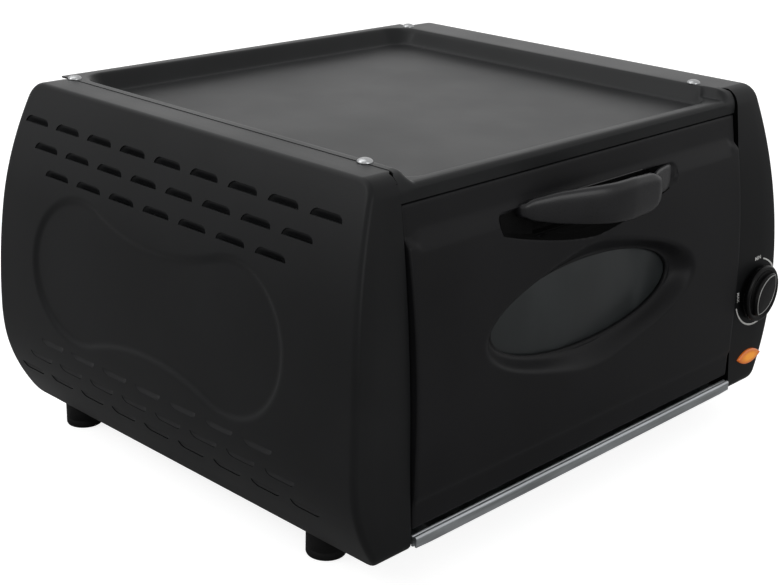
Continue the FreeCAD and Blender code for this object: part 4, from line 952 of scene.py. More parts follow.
@dataclass
class SidePanel:
    """A pressed side panel: barrel face, folded edges, louvres and a peanut-shaped recess."""

    right: bool
    fold: float = 3.5
    sheet: float = 1.0
    step: float = 1.5
    louvre_pitch: float = 31.7
    louvre_length: float = 23.3
    louvre_height: float = 4.0
    louvre_press: float = 2.6
    low_share: float = 0.45
    louvre_counts: tuple[int, ...] = (7, 8, 9)
    louvre_offset: float = 53.0
    row_pitch: float = 13.3
    middle_y: float = 16.25
    middle_z: float = 125.0
    lobe: float = 43.5
    lobe_half_spacing: float = 68.0
    waist: float = 31.0
    recess: float = 1.6
    recess_soft: float = 3.8
    return_back: float = -126.0
    return_stops: tuple[Pair, ...] = ((23.0, 1), (207.5, 6.0), (222.0, 1.5))
    return_columns: int = 6
    corner_steps: int = 7
    fold_steps: int = 7
    louvre_flat: float = 0.6
    slot_cut: Pair = (-9.0, 6.0)
    tongue_sheet: float = 0.8
    top_flange_band: float = 0.3
    top_flange_start: float = 8.0
    top_reach: tuple[float, float, float, float] = (3.2, -127.0, 158.0, 3.0)
    base_reach: tuple[float, float, float, float] = (5.5, -143.0, 150.0, 4.0)
    level_from: float = 0.995
    level_run: float = 0.004
    forward_from: float = 0.9
    forward_run: float = 0.09
    tongue_grid: tuple[int, int] = (13, 6)
    tongue_edge: float = 0.1
    lens_cut: Pair = (-5.0, 4.0)

    @property
    def side(self) -> float:
        """+1 for the right-hand panel, -1 for the left one."""
        return 1.0 if self.right else -1.0

    @property
    def label(self) -> str:
        """The side's name, with which its pieces' names start."""
        return "right" if self.right else "left"

    @property
    def casing(self) -> Casing:
        """The outer form on this panel's side."""
        return RIGHT_CASING if self.right else CASING

    def peanut_distance(self, y: Array, z: Array) -> Array:
        """Signed distance to the recess outline, negative inside."""
        y, z = np.abs(y - self.middle_y), np.abs(z - self.middle_z)
        half, lobe, waist = self.lobe_half_spacing, self.lobe, self.waist
        radius = (half ** 2 + waist ** 2 - lobe ** 2) / (2 * (lobe - waist))
        neck = radius - np.hypot(y, waist + radius - z)
        round_end = np.hypot(y - half, z) - lobe
        inner = z * half + y * (waist + radius) < half * (waist + radius)
        return np.where(inner, neck, round_end)

    def rows(self) -> Array:
        """Centre heights for the face's grid, finer where the corners turn."""
        low, high = CASING.base + self.fold, CASING.top - self.fold
        low_r, high_r = CASING.base_corner - self.fold, CASING.top_corner - self.fold
        turns = quarter_turn(self.corner_steps)
        bottom = low + low_r * (1 - np.cos(turns))
        top = high - high_r + high_r * np.sin(turns)
        middle = graded([(low + low_r, 1), (high - high_r, self.step)])
        return np.concatenate([bottom, middle[1:-1], top])

    def skin(self) -> Piece:
        """The painted sheet without its cut-outs, as a closed shell."""
        rows = self.rows()
        columns = round((CASING.back - CASING.front) / self.step)
        share = np.linspace(0, 1, columns)
        front_y, front_ny, front_nz = CASING.cornered_end(rows, self.fold, True)
        back_y, back_ny, back_nz = CASING.cornered_end(rows, self.fold, False)
        y = front_y[:, None] * (1 - share) + back_y[:, None] * share
        half, nx, nz = self.casing.barrel(rows, self.fold)
        centre = xyz(half[:, None], y, rows[:, None])
        normal = xyz(nx[:, None], np.zeros_like(y), nz[:, None])
        face = centre + self.fold * normal
        depth = self.recess * smooth(0.5 - self.peanut_distance(face[..., 1], face[..., 2])
                                     / self.recess_soft)
        cells = perimeter(len(rows), columns)
        out = np.zeros((len(cells), 3))
        for k, (r, c) in enumerate(cells):
            if c == 0:
                out[k] = 0, front_ny[r], front_nz[r]
            elif c == columns - 1:
                out[k] = 0, back_ny[r], back_nz[r]
            else:
                out[k] = 0, 0, 1 if r else -1
        sheet = FoldedSheet(face - depth[..., None] * normal)
        edge = sheet.fold_edge(cells, centre, normal, out, self.fold, self.fold_steps)
        inner = self.inner_edge(edge, out)
        forward = smooth((-out[:, 1] - self.forward_from) / self.forward_run)
        dip = CASING.flange_dip(edge[:, 2]) * forward
        for share in (1 / 3, 2 / 3, 1.0):
            strip = edge.copy()
            strip[:, 0] = edge[:, 0] + (inner - edge[:, 0]) * share
            strip[:, 1] += share * dip
            sheet.add(strip)
        points, faces = sheet.mesh()
        points[:, 0] *= self.side
        if not self.right:
            faces = [f[::-1] for f in faces]
        made = mesh_object(self.label + "_panel_sheet", points, faces, PANEL_BLACK)
        made.data.materials.append(TRAY_BLACK.material())
        made.data.materials.append(BLACK_AND_PAINTED_SHADE.material())
        top_z = (CASING.top - self.top_flange_band) * MM
        top_y = (CASING.front + CASING.front_setback + self.top_flange_start) * MM
        for polygon in made.data.polygons:
            polygon.material_index = int(polygon.center.z > top_z and polygon.center.y > top_y)
        return thickened(made, self.sheet, use_even_offset=True, material_offset_rim=2)

    def inner_edge(self, edge: Array, out: Array) -> Array:
        """Half-width at which the folded flange ends, round the whole ring."""
        y, z = edge[:, 1], edge[:, 2]
        reach = np.full(len(edge), CASING.opening_half)
        for turn, (extra, first, last, run) in ((1, self.top_reach), (-1, self.base_reach)):
            level = smooth((turn * out[:, 2] - self.level_from) / self.level_run)
            level = level * (turn * z > turn * CASING.widest_z)
            reach -= extra * level * smooth((y - first) / run) * smooth((last - y) / run)
        return reach

    def louvres(self) -> tuple[Array, Array]:
        """Places of the louvres on the surface and the side to which each one rises.

        Returns:
            Points in the panel's own side, and +1 or -1 for each.
        """
        places, facings = [], []
        for facing in (1, -1):
            for row, count in enumerate(self.louvre_counts):
                z = self.middle_z + facing * (self.louvre_offset + row * self.row_pitch)
                half = float(self.outer_half(z))
                for k in range(count):
                    y = self.middle_y + (k - (count - 1) / 2) * self.louvre_pitch
                    places.append((half, y, z - facing * self.louvre_height / 2))
                    facings.append(facing)
        return np.array(places), np.array(facings)

    def outer_half(self, z: Any) -> Any:
        """Half-width of the outer surface at a height."""
        return self.casing.barrel(z, 0.0)[0]

    def d_outline(self, facing: float) -> Array:
        """Outline of one louvre about its straight edge, as (y, z) pairs."""
        half, flat = self.louvre_length / 2, self.louvre_flat
        turns = quarter_turn(self.corner_steps)
        right = np.stack([half * (flat + (1 - flat) * np.cos(turns)),
                          self.louvre_height * np.sin(turns)], 1)
        return np.concatenate([right, right[::-1] * (-1, 1)]) * (1, facing)

    def slot_cutter(self) -> Piece:
        """All louvre slots as one cutter."""
        points, faces, start = [], [], 0
        for (x, y, z), facing in zip(*self.louvres()):
            outline = self.d_outline(facing) + (y, z)
            part, part_faces = loft([xyz(x + reach, *outline.T) for reach in self.slot_cut])
            part[:, 0] *= self.side
            points.append(part)
            faces += [[v + start for v in f] for f in part_faces]
            start += len(part)
        made = mesh_object("slot_cutter", np.concatenate(points), faces, PANEL_BLACK)
        return recalculated(made)

    def tongue(self, graph: Graph, sizes: dict[str, Sock]) -> Sock:
        """Geometry of one pressed-in tongue about its straight edge, facing +X."""
        across, up_and_down = self.tongue_grid
        grid = graph.node("GeometryNodeMeshGrid", None,
                          {"Size X": 1.0, "Size Y": 1.0, "Vertices X": across,
                           "Vertices Y": up_and_down})
        along, up, _ = graph.position()
        rise = up + 0.5
        flat = self.louvre_flat
        taper = flat + (1 - flat) * (1.0 - rise * rise).math("SQRT")
        closed = 1.0 - (along * 2.0).math("POWER", 4.0)
        fall = (1.0 - rise) * (1.0 - rise) * (rise * 2.0 + 1.0)
        press = sizes["Press"] * fall * closed + sizes["Sheet"] * self.tongue_edge
        moved = graph.vector(press * -1.0, along * taper * sizes["Length"],
                             rise * sizes["Height"])
        bent = graph.node("GeometryNodeSetPosition", None, {"Geometry": grid, "Position": moved})
        return graph.node("GeometryNodeSetShadeSmooth", None, {"Geometry": bent})

    def tongues(self) -> Piece:
        """All tongues of the panel as one thin shell."""
        places, facings = self.louvres()
        pattern = Pattern(self.label + "_louvres", PANEL_BLACK,
                          {"Length": self.louvre_length, "Height": self.louvre_height,
                           "Press": self.louvre_press, "Sheet": self.sheet})
        lean = np.arcsin(self.casing.barrel(places[:, 2], 0.0)[2])
        turns = np.zeros((len(places), 3))
        turns[:, 0] = np.where(facings > 0, 0.0, math.pi)
        turns[:, 1] = -lean
        made = pattern.piece(places, turns, self.tongue)
        if not self.right:
            made.data.transform(Matrix.Scale(-1, 4, (1, 0, 0)))
        made = creased(recalculated(thickened(made, self.tongue_sheet, -self.side)))
        # Tongues below the middle get the lighter paint: painted light where they face upwards.
        made.data.materials.append(LOUVRE_PAINTED_LIGHT.material())
        painted_light_index = len(made.data.materials) - 1
        middle = self.middle_z * MM
        for polygon in made.data.polygons:
            if polygon.center.z < middle:
                polygon.material_index = painted_light_index
        for vertex in made.data.vertices:
            if vertex.co.z < middle:
                surface = self.side * MM * float(self.outer_half(vertex.co.z / MM))
                vertex.co.x = surface + (vertex.co.x - surface) * self.low_share
        return made

    def front_return(self) -> Piece:
        """Strip folded back from the front flange beside the door, near-black as painted shade in
        the gap.
        """
        z = graded(self.return_stops)
        front = CASING.cornered_end(z, 0.0, True)[0] + CASING.flange_dip(z) + FILM
        depth = np.linspace(0, 1, self.return_columns)
        y = front[:, None] * (1 - depth) + self.return_back * depth
        points = xyz((CASING.opening_half + FILM) * self.side, y, z[:, None]).reshape(-1, 3)
        faces = grid_faces(len(z), self.return_columns, flip=self.right)
        made = mesh_object(self.label + "_front_return", points, faces, BLACK_AND_PAINTED_SHADE)
        return creased(recalculated(thickened(made, self.sheet)))

    def lens_cutter(self) -> Piece:
        """Cutter for the lamp's lens in the right-hand front flange."""
        x, z = Controls().lens_outline(FILM).T
        near, far = (xyz(x, CASING.front + depth, z) for depth in self.lens_cut)
        return prism("lens_cutter", near, far, PANEL_BLACK)

    def build(self) -> None:
        """Make the panel, its louvres and its return strip."""
        sheet = self.skin()
        cut(sheet, [self.slot_cutter()] + ([self.lens_cutter()] if self.right else []))
        place(creased(sheet, PRESSED_CREASE), Body.CASING, PANEL_BLACK, self.label + "_side_panel")
        place(self.tongues(), Body.CASING, PANEL_BLACK)
        place(self.front_return(), Body.CASING, BLACK_AND_PAINTED_SHADE)


# ---- top tray -----------------------------------------------------------------------------------
@dataclass
class TopTray:
    """The pressed warming tray with its sunk floor, rims and front lip."""

    half: float = 152.0
    front: float = -134.3
    back: float = 159.5
    rim_z: float = 225.15
    floor_z: float = 214.0
    lip_z: float = 210.2
    rim_flat: float = 6.5
    wall_run: float = 7.0
    corner: float = 12.0
    crest_drop: float = 6.0
    front_rim: float = 12.0
    side_roll: float = 11.0
    middle_roll: float = 3.2
    end_spread: float = 2.5
    spread_from: float = -126.5
    spread_run: float = 3.0
    spread_edge: float = 140.0
    spread_width: float = 12.0
    roll_steps: int = 9
    crease: float = 50.0
    sheet: float = 1.0
    rim_inner: float = 147.5
    rim_run: float = 5.5
    wall_soft: float = 1.6
    rim_soft: float = 1.4
    crest_depth: float = 21.0
    crest_run: float = 4.0

    def crest(self, x: Array) -> Array:
        """Height of the front rim: low between the two side rims."""
        return self.rim_z - self.crest_drop * smooth((self.rim_inner - np.abs(x)) / self.rim_run)

    def top_height(self, x: Array, y: Array) -> Array:
        """Height of the tray's upper surface behind the front roll."""
        low, high = self.front + self.front_rim, self.back - self.rim_flat - self.wall_run
        half_x = self.half - self.rim_flat - self.wall_run
        off = rounded_box_distance(x, y - (low + high) / 2, half_x, (high - low) / 2, self.corner)
        slope = (self.rim_z - self.floor_z) / self.wall_run
        wall = self.floor_z + smooth_max(off * slope, np.zeros_like(off), self.wall_soft)
        near = smooth((self.front + self.crest_depth - y) / self.crest_run)
        limit = self.crest(x) * near + self.rim_z * (1 - near)
        return -smooth_max(-wall, -limit, self.rim_soft)

    def columns(self) -> Array:
        """Positions across the tray, close together near the rims."""
        right = graded([(0, 1), (120, 5.0), (134, 1.1), (self.half, 0.9)])
        return np.concatenate([-right[:0:-1], right])

    def shell(self) -> Piece:
        """The tray as a closed sheet."""
        x = self.columns()
        crest = self.crest(x)
        side = smooth((np.abs(x) - self.rim_inner) / self.rim_run + 1.0)
        roll = self.middle_roll + (self.side_roll - self.middle_roll) * side
        rows = [xyz(x, self.front, self.lip_z + (crest - roll - self.lip_z) * share)
                for share in (0.0, 0.06, 0.3, 0.6, 0.9)]
        rows += [xyz(x, self.front + roll * (1 - math.cos(turn)),
                     crest - roll * (1 - math.sin(turn))) for turn in quarter_turn(self.roll_steps)]
        total = self.back - self.front
        start = self.front + roll
        for line in graded([(0, 1), (24, 0.8), (38, 1.1), (total - 40, 5.0), (total - 24, 1.6),
                            (total, 0.8)])[1:]:
            y = start + (self.back - start) * line / total
            rows.append(xyz(x, y, self.top_height(x, y)))
        points = np.concatenate(rows)
        x, y = points[:, 0], points[:, 1]
        wider = self.end_spread * smooth((self.spread_from - y) / self.spread_run)
        wider = wider * smooth((np.abs(x) - self.spread_edge) / self.spread_width)
        points[:, 0] = x + np.sign(x) * wider
        faces = grid_faces(len(rows), len(crest))
        return thickened(mesh_object("warming_tray", points, faces, TRAY_BLACK), self.sheet)

    def build(self) -> None:
        """Make the tray."""
        place(creased(self.shell(), self.crease), Body.CASING, TRAY_BLACK, "top_tray")


# ---- door ---------------------------------------------------------------------------------------
@dataclass
class Door:
    """The drop-down door: pressed skin, oval window, bow handle and finger cup."""

    low: float = 33.5
    top: float = 208.0
    bend: float = 190.5
    edge: float = 153.8
    low_setback: float = 0.8
    bend_setback: float = 11.4
    bend_rise: float = 154.5
    band_slope: float = 0.17
    band_setback: float = 14.2
    behind_flange: float = 0.3
    low_step: float = 1.3
    low_step_z: float = 50.0
    shoulder_run: float = 13.0
    end_shoulder_run: float = 5.5
    fold: float = 1.6
    depth: float = 24.0
    sheet: float = 1.0
    window_z: float = 123.0
    window: Pair = (84.0, 25.5)
    dish_run: Pair = (17.0, 13.6)
    dish_depth: float = 5.0
    recess_top: float = 192.5
    recess_low: float = 163.5
    recess_curl: float = 14.0
    recess_half: float = 84.0
    recess_corner: float = 6.0
    recess_run: float = 24.0
    plate_half: Pair = (74.0, 60.0)
    plate_left: float = 82.0
    recess_sink: float = 4.5
    handle_z: float = 190.0
    bow_end: float = -140.3
    bow_lean: float = 0.571
    bow_front: float = -169.3
    bow_left: float = -65.5
    bow_stops: tuple[float, ...] = (-66.0, -62.0, -60.0, -46.0, -31.0, -18.0, 2.0, 20.0, 25.0,
                                    29.0, 31.0, 32.4)
    bow_heights: tuple[float, ...] = (3.6, 4.4, 6.0, 8.8, 10.4, 11.3, 12.2, 11.4, 10.0, 7.6, 5.2,
                                      1.2)
    strap_height: float = 8.2
    strap_thick: float = 3.6
    strap_z: float = 185.4
    bow_top: float = 215.0
    low_step_run: float = 5.0
    end_from: float = 144.0
    end_run: float = 5.0
    recess_curl_half: float = 75.0
    recess_curl_power: float = 1.5
    recess_end_step: float = 0.3
    recess_edge_run: float = 1.4
    recess_top_run: float = 2.0
    recess_low_run: float = 3.0
    plate_low_gap: float = 0.5
    plate_top_gap: float = 2.0
    plate_lift: float = 0.35
    plate_sheet: float = 0.25
    highlight_span: Pair = (-30.0, 50.0)
    highlight_half: float = 0.25
    highlight_sheet: float = 0.2
    leg_start: float = 1.2
    leg_blend: float = 5.0
    face_end: float = 24.0
    face_fall: float = 0.04
    thick_stops: tuple[float, ...] = (-65.5, -20.0, 25.0, 32.4)
    thick: tuple[float, ...] = (5.4, 8.0, 8.0, 3.0)
    pan_gap: float = 1.4
    screw_gap: float = 0.3
    collar_steps: int = 160
    cutter_steps: int = 96
    fold_strips: tuple[float, ...] = (0.5, 1.0)
    fold_steps: int = 4
    window_gap: float = 0.6
    slot: Triple = (51.0, 9.0, 3.0)
    slot_z: float = 181.0
    cut_sinks: Pair = (-4.0, 16.0)
    bar_steps: int = 44
    bar_powers: Pair = (0.65, 0.7)
    band_gap: Triple = (2.2, 178.0, 8.0)

    @property
    def tilt(self) -> float:
        """Lean of the main face, in radians."""
        return math.atan2(self.bend_setback - self.low_setback, self.bend_rise)

    def on_face(self, x: Array, along: Array, sink: Array) -> Array:
        """Points on the door.

        Args:
            x: across the door.
            along: distance up the main face from the door's lower edge.
            sink: distance behind the main face's plane.
        Returns:
            Positions, last axis x, y, z.
        """
        lean = self.tilt
        y = CASING.front + self.low_setback + along * math.sin(lean) + sink * math.cos(lean)
        return xyz(x, y, self.low + along * math.cos(lean) - sink * math.sin(lean))

    def along_of(self, z: float) -> float:
        """Distance up the main face of a height on its plane."""
        return (z - self.low) / math.cos(self.tilt)

    def sink(self, x: Array, along: Array) -> Array:
        """How far the skin lies behind the tilted plane that the handle and the window sit on."""
        z = self.low + along * math.cos(self.tilt)
        plane = self.low_setback + along * math.sin(self.tilt)
        bow = CASING.end(np.minimum(z, self.bow_top), 0.0, True)[0] - CASING.front
        bow = bow + self.behind_flange
        bow = bow + self.low_step * smooth((self.low_step_z - z) / self.low_step_run + 0.5)
        band = self.band_setback + self.band_slope * (z - self.bend)
        ends = smooth((np.abs(x) - self.end_from) / self.end_run)
        run = self.shoulder_run + (self.end_shoulder_run - self.shoulder_run) * ends
        share = smooth((z - self.bend) / run + 0.5)
        face = bow * (1 - share) + np.maximum(band, bow) * share - plane
        dish = smooth(self.dish_share(x, along))
        face = face * (1 - dish) + self.dish_depth * dish
        pocket = self.recess_share(x, along)
        return face * (1 - pocket) + self.recess_sink * pocket

    def dish_share(self, x: Array, along: Array) -> Array:
        """0 at the dish's outer oval, 1 at its inner one."""
        up = along - self.along_of(self.window_z)
        (half_x, half_up), (run_x, run_up) = self.window, self.dish_run
        angle = np.arctan2(up / half_up, x / half_x)
        inner = np.hypot(np.cos(angle) * (half_x + 1), np.sin(angle) * (half_up + 1))
        outer = np.hypot(np.cos(angle) * (half_x + run_x), np.sin(angle) * (half_up + run_up))
        return (outer - np.hypot(x, up)) / (outer - inner)

    def recess_edge(self, x: Array) -> Array:
        """Height of the recess's lower edge, lowest in its middle."""
        share = np.abs(x) / self.recess_curl_half
        return self.recess_low + self.recess_curl * share ** self.recess_curl_power

    def recess_share(self, x: Array, along: Array) -> Array:
        """0 at the handle recess's outline, 1 on its floor."""
        z = self.low + along * math.cos(self.tilt)
        above, below = self.recess_top - z, z - self.recess_edge(x)
        beside = self.recess_half - np.abs(x)
        level, corner = np.minimum(above, below), self.recess_corner
        rounded = corner - np.hypot(corner - level, corner - beside)
        edge = np.where((level < corner) & (beside < corner), rounded, np.minimum(level, beside))
        step = self.recess_end_step
        ends = step * smooth(edge / self.recess_edge_run)
        ends = ends + (1 - step) * smooth((beside - 1.0) / self.recess_run)
        return smooth(above / self.recess_top_run) * smooth(below / self.recess_low_run) * ends

    def skin(self) -> Piece:
        """The pressed outer sheet with folded edges, its openings cut."""
        reach = self.edge - self.fold
        x = graded([(-reach, 1), (-138, 1.4), (-90, 2.0), (90, 1.0), (138, 2.0), (reach, 1.4)])
        rise = self.along_of(self.top) + 2.0
        along = graded([(self.fold, 1), (40, 1.8), (125, 1.25), (162, 0.75),
                        (rise - self.fold, 1.2)])
        sink = self.sink(x[None, :], along[:, None])
        grid = self.on_face(x[None, :], along[:, None], sink)
        normal = unit(np.cross(np.gradient(grid, axis=1), np.gradient(grid, axis=0)))
        cells, out = self.ring(*grid.shape[:2])
        sheet = FoldedSheet(grid)
        edge = sheet.fold_edge(cells, grid - self.fold * normal, normal, out, self.fold,
                               self.fold_steps)
        for share in self.fold_strips:
            strip = edge.copy()
            strip[:, 1] += (CASING.front + self.depth - edge[:, 1]) * share
            sheet.add(strip)
        made = thickened(mesh_object("door_sheet", *sheet.mesh(), DOOR_BLACK), self.sheet)
        cut(made, [self.window_cutter(), self.slot_cutter()])
        return creased(made, PRESSED_CREASE)

    @staticmethod
    def ring(count: int, columns: int) -> tuple[list[tuple[int, int]], Array]:
        """Grid cells round the edge and the outward direction at each, corners turned in steps."""
        ring, out = [], []
        turns = {(0, 0): (180, 270), (count - 1, 0): (90, 180), (count - 1, columns - 1): (0, 90),
                 (0, columns - 1): (270, 360)}
        for r, c in perimeter(count, columns):
            if (r, c) in turns:
                first, last = turns[(r, c)]
                angles = np.radians(np.linspace(last, first, 4))
            elif c == 0 or c == columns - 1:
                angles = [math.pi if c == 0 else 0.0]
            else:
                angles = [math.pi / 2 if r else -math.pi / 2]
            for angle in angles:
                ring.append((r, c))
                out.append((math.cos(angle), 0.0, math.sin(angle)))
        return ring, np.array(out)

    def window_oval(self, grow: float, steps: int) -> tuple[Array, Array]:
        """The window's oval made larger, as positions across and along the main face."""
        turns = full_turn(steps)
        up = self.along_of(self.window_z) + (self.window[1] + grow) * np.sin(turns)
        return (self.window[0] + grow) * np.cos(turns), up

    def window_cutter(self) -> Piece:
        """Oval cutter through the dish."""
        oval = self.window_oval(self.window_gap, self.cutter_steps)
        return self.prism_on_face("window_cutter", *oval)

    def slot_cutter(self) -> Piece:
        """Cutter for the finger cup's slot."""
        x, up = rounded_outline(*self.slot)
        return self.prism_on_face("finger_slot_cutter", x, up + self.along_of(self.slot_z))

    def prism_on_face(self, name: str, x: Array, along: Array) -> Piece:
        """A closed prism square to the main face."""
        near, far = (self.on_face(x, along, sink) for sink in self.cut_sinks)
        return prism(name, near, far, DOOR_BLACK)

    def collar(self) -> Piece:
        """Turned-in edge of the window opening."""
        profile = [(2.4, 4.72), (1.2, 4.85), (0.5, 5.15), (0.1, 5.7), (0.0, 6.4), (0.0, 7.45),
                   (0.9, 7.45), (0.9, 6.2), (2.4, 5.6)]
        rings = [self.on_face(*self.window_oval(grow, self.collar_steps), sink)
                 for grow, sink in profile]
        points, faces = loft(rings + [rings[0]], close_ends=False)
        return recalculated(mesh_object("window_collar", points, faces, DOOR_BLACK, merge=MERGE))

    def grip_path(self) -> Array:
        """The grip's outer face in plan, as (x, y) pairs from its left foot to its right end."""
        x = graded([(self.bow_left + self.leg_start, 1), (self.face_end, 1.9)])
        leg = self.bow_end - self.bow_lean * (x - self.bow_left)
        face = smooth_max(leg, self.bow_front + self.face_fall * np.abs(x), self.leg_blend)
        foot = [(self.bow_left, -133.0), (self.bow_left, -136.5), (self.bow_left + 0.3, -139.2)]
        end = [(26.5, -168.2), (28.8, -167.3), (30.4, -166.0), (31.5, -164.4), (32.2, -162.4)]
        return np.concatenate([foot, np.stack([x, face], 1), end])

    def swept(self, path: Array, heights: Array, thickness: Array,
              level: float) -> tuple[Array, Faces]:
        """A rounded bar behind a path in plan.

        Args:
            path: (x, y) pairs of its outer face.
            heights: half-height at each.
            thickness: thickness at each.
            level: height of its middle.
        Returns:
            Points and faces.
        """
        run = unit(np.gradient(path, axis=0))
        turns = full_turn(self.bar_steps)
        bulge, rise = (np.sign(share) * np.abs(share) ** power
                       for share, power in zip((np.cos(turns), np.sin(turns)), self.bar_powers))
        sections = []
        for (x, y), (dx, dy), high, thick in zip(path, run, heights, thickness):
            push = thick / 2 * (bulge - 1.0)
            sections.append(xyz(x + dy * push, y - dx * push, level + high * rise))
        return loft(sections)

    def handle(self) -> Piece:
        """The bow: a tall grip with a straight left leg, and the strap that holds its right end."""
        path = self.grip_path()
        high = np.interp(path[:, 0], self.bow_stops, self.bow_heights)
        thick = np.interp(path[:, 0], self.thick_stops, self.thick)
        points, faces = self.swept(path, high, thick, self.handle_z)
        strap = np.array([(18.0, -163.5), (30.0, -160.0), (42.0, -154.5), (50.0, -150.5),
                          (56.0, -148.2), (62.0, -146.8), (67.0, -145.8), (71.0, -144.8),
                          (74.0, -143.2), (75.8, -141.0), (76.4, -138.0), (76.5, -133.5)])
        high = self.strap_height * np.array((0.6, 0.7, 0.85, 1, 1, 1, 1, 0.95, 0.8, 0.64, 0.52,
                                             0.5))
        thick = np.full(len(strap), self.strap_thick)
        strap_points, strap_faces = self.swept(strap, high, thick, self.strap_z)
        faces += [[v + len(points) for v in face] for face in strap_faces]
        return solid("bow_handle", np.concatenate([points, strap_points]), faces, HANDLE_BLACK)

    def slot_line(self) -> Piece:
        """A lighter strip along the recess's upper edge above the slot: a painted highlight."""
        x = np.linspace(*self.highlight_span, 60)
        rows = []
        for z in (self.recess_top - self.highlight_half, self.recess_top + self.highlight_half):
            along = self.along_of(np.full_like(x, z))
            rows.append(self.on_face(x, along, self.sink(x, along) - self.highlight_half))
        made = mesh_object("slot_edge_painted_highlight", np.concatenate(rows), grid_faces(2, len(x)),
                           EDGE_PAINTED_HIGHLIGHT)
        return thickened(made, self.highlight_sheet)

    def painted_shade_plate(self) -> Piece:
        """Near-black sheet on the recess floor, open at the slot: painted shade under the handle.
        """
        rows, columns = 18, 101
        up = np.linspace(0, 1, rows)[:, None]
        share = np.linspace(0, 1, columns)
        right = self.plate_half[0] * (1 - up) + self.plate_half[1] * up
        x = -self.plate_left * (1 - share) + right * share
        low = self.recess_edge(x) + self.plate_low_gap
        along = self.along_of(low + (self.recess_top - self.plate_top_gap - low) * up)
        points = self.on_face(x, along, self.sink(x, along) - self.plate_lift).reshape(-1, 3)
        made = mesh_object("recess_painted_shade_plate", points, grid_faces(rows, columns), BLACK_AND_PAINTED_SHADE)
        return creased(cut(thickened(made, self.plate_sheet), [self.slot_cutter()]))

    def behind_skin(self, gap: float) -> Callable[[Array], Array]:
        """A rule that keeps a piece's corners behind the visible skin."""
        def rule(points: Array) -> Array:
            along = self.along_of(np.clip(points[:, 2], self.low, self.top))
            skin = self.on_face(points[:, 0], along, self.sink(points[:, 0], along))[:, 1]
            deeper, start, run = self.band_gap
            step = deeper * smooth((points[:, 2] - start) / run)
            points[:, 1] = np.maximum(points[:, 1], skin + gap + step)
            return points
        return rule

    def cup(self) -> Piece:
        """Finger cup: a rounded pan with a small lip standing out of the recess floor."""
        base = self.along_of(self.slot_z)
        half_x, half_up, corner = (size - FILM for size in self.slot)
        profile = [(0.0, 10.4), (-0.05, 4.6), (-0.05, 4.5), (-0.25, 4.45), (-0.7, 4.45),
                   (-0.95, 4.5), (-1.0, 4.6), (-1.1, 8.6), (-1.8, 9.6), (-3.2, 10.0)]
        rings = []
        for grow, sink in profile:
            x, up = rounded_outline(half_x + grow, half_up + grow, max(0.5, corner + grow))
            rings.append(self.on_face(x, up + base, sink))
        points, faces = loft(rings, close_ends=False)
        inner = list(range(len(points) - len(rings[0]), len(points)))
        outer = list(range(len(rings[0])))
        faces += [inner, outer[::-1]]
        return solid("finger_cup_pan", points, faces, BLACK_AND_PAINTED_SHADE)

    def build(self) -> None:
        """Make all pieces of the door."""
        place(self.skin(), Body.DOOR, DOOR_BLACK, "door_skin")
        place(self.collar(), Body.DOOR, DOOR_BLACK)
        place(self.handle(), Body.DOOR, HANDLE_BLACK, "door_handle")
        place(self.cup(), Body.DOOR, BLACK_AND_PAINTED_SHADE, "finger_cup")
        place(self.painted_shade_plate(), Body.DOOR, BLACK_AND_PAINTED_SHADE)
        place(self.slot_line(), Body.DOOR, EDGE_PAINTED_HIGHLIGHT)
        dressed_copy("window_glass", Body.DOOR, WINDOW_TINT, 0.4, "oval_pane")
        pan = dressed_copy("door_inner_panel", Body.DOOR, LINER_STEEL, 0.0, "door_inner_pan")
        reshaped(pan, self.behind_skin(self.pan_gap))
        dressed_copy("window_retainer", Body.DOOR, LINER_STEEL, 0.0, "oval_clamp_ring")
        screws = dressed_copy("handle_screws", Body.DOOR, SCREW_STEEL, 0.2)
        reshaped(screws, self.behind_skin(self.screw_gap))
        dressed_copy("hinge_pins", Body.DOOR, SCREW_STEEL, 0.3)


def rounded_outline(half_x: float, half_y: float, corner: float) -> tuple[Array, Array]:
    """Outline of a rounded rectangle, anticlockwise from its right side."""
    xs, ys = [], []
    for sx, sy, start in ((1, 1, 0), (-1, 1, 90), (-1, -1, 180), (1, -1, 270)):
        for turn in np.radians(np.linspace(start, start + 90, 8)):
            xs.append(sx * (half_x - corner) + corner * math.cos(turn))
            ys.append(sy * (half_y - corner) + corner * math.sin(turn))
    return np.array(xs), np.array(ys)


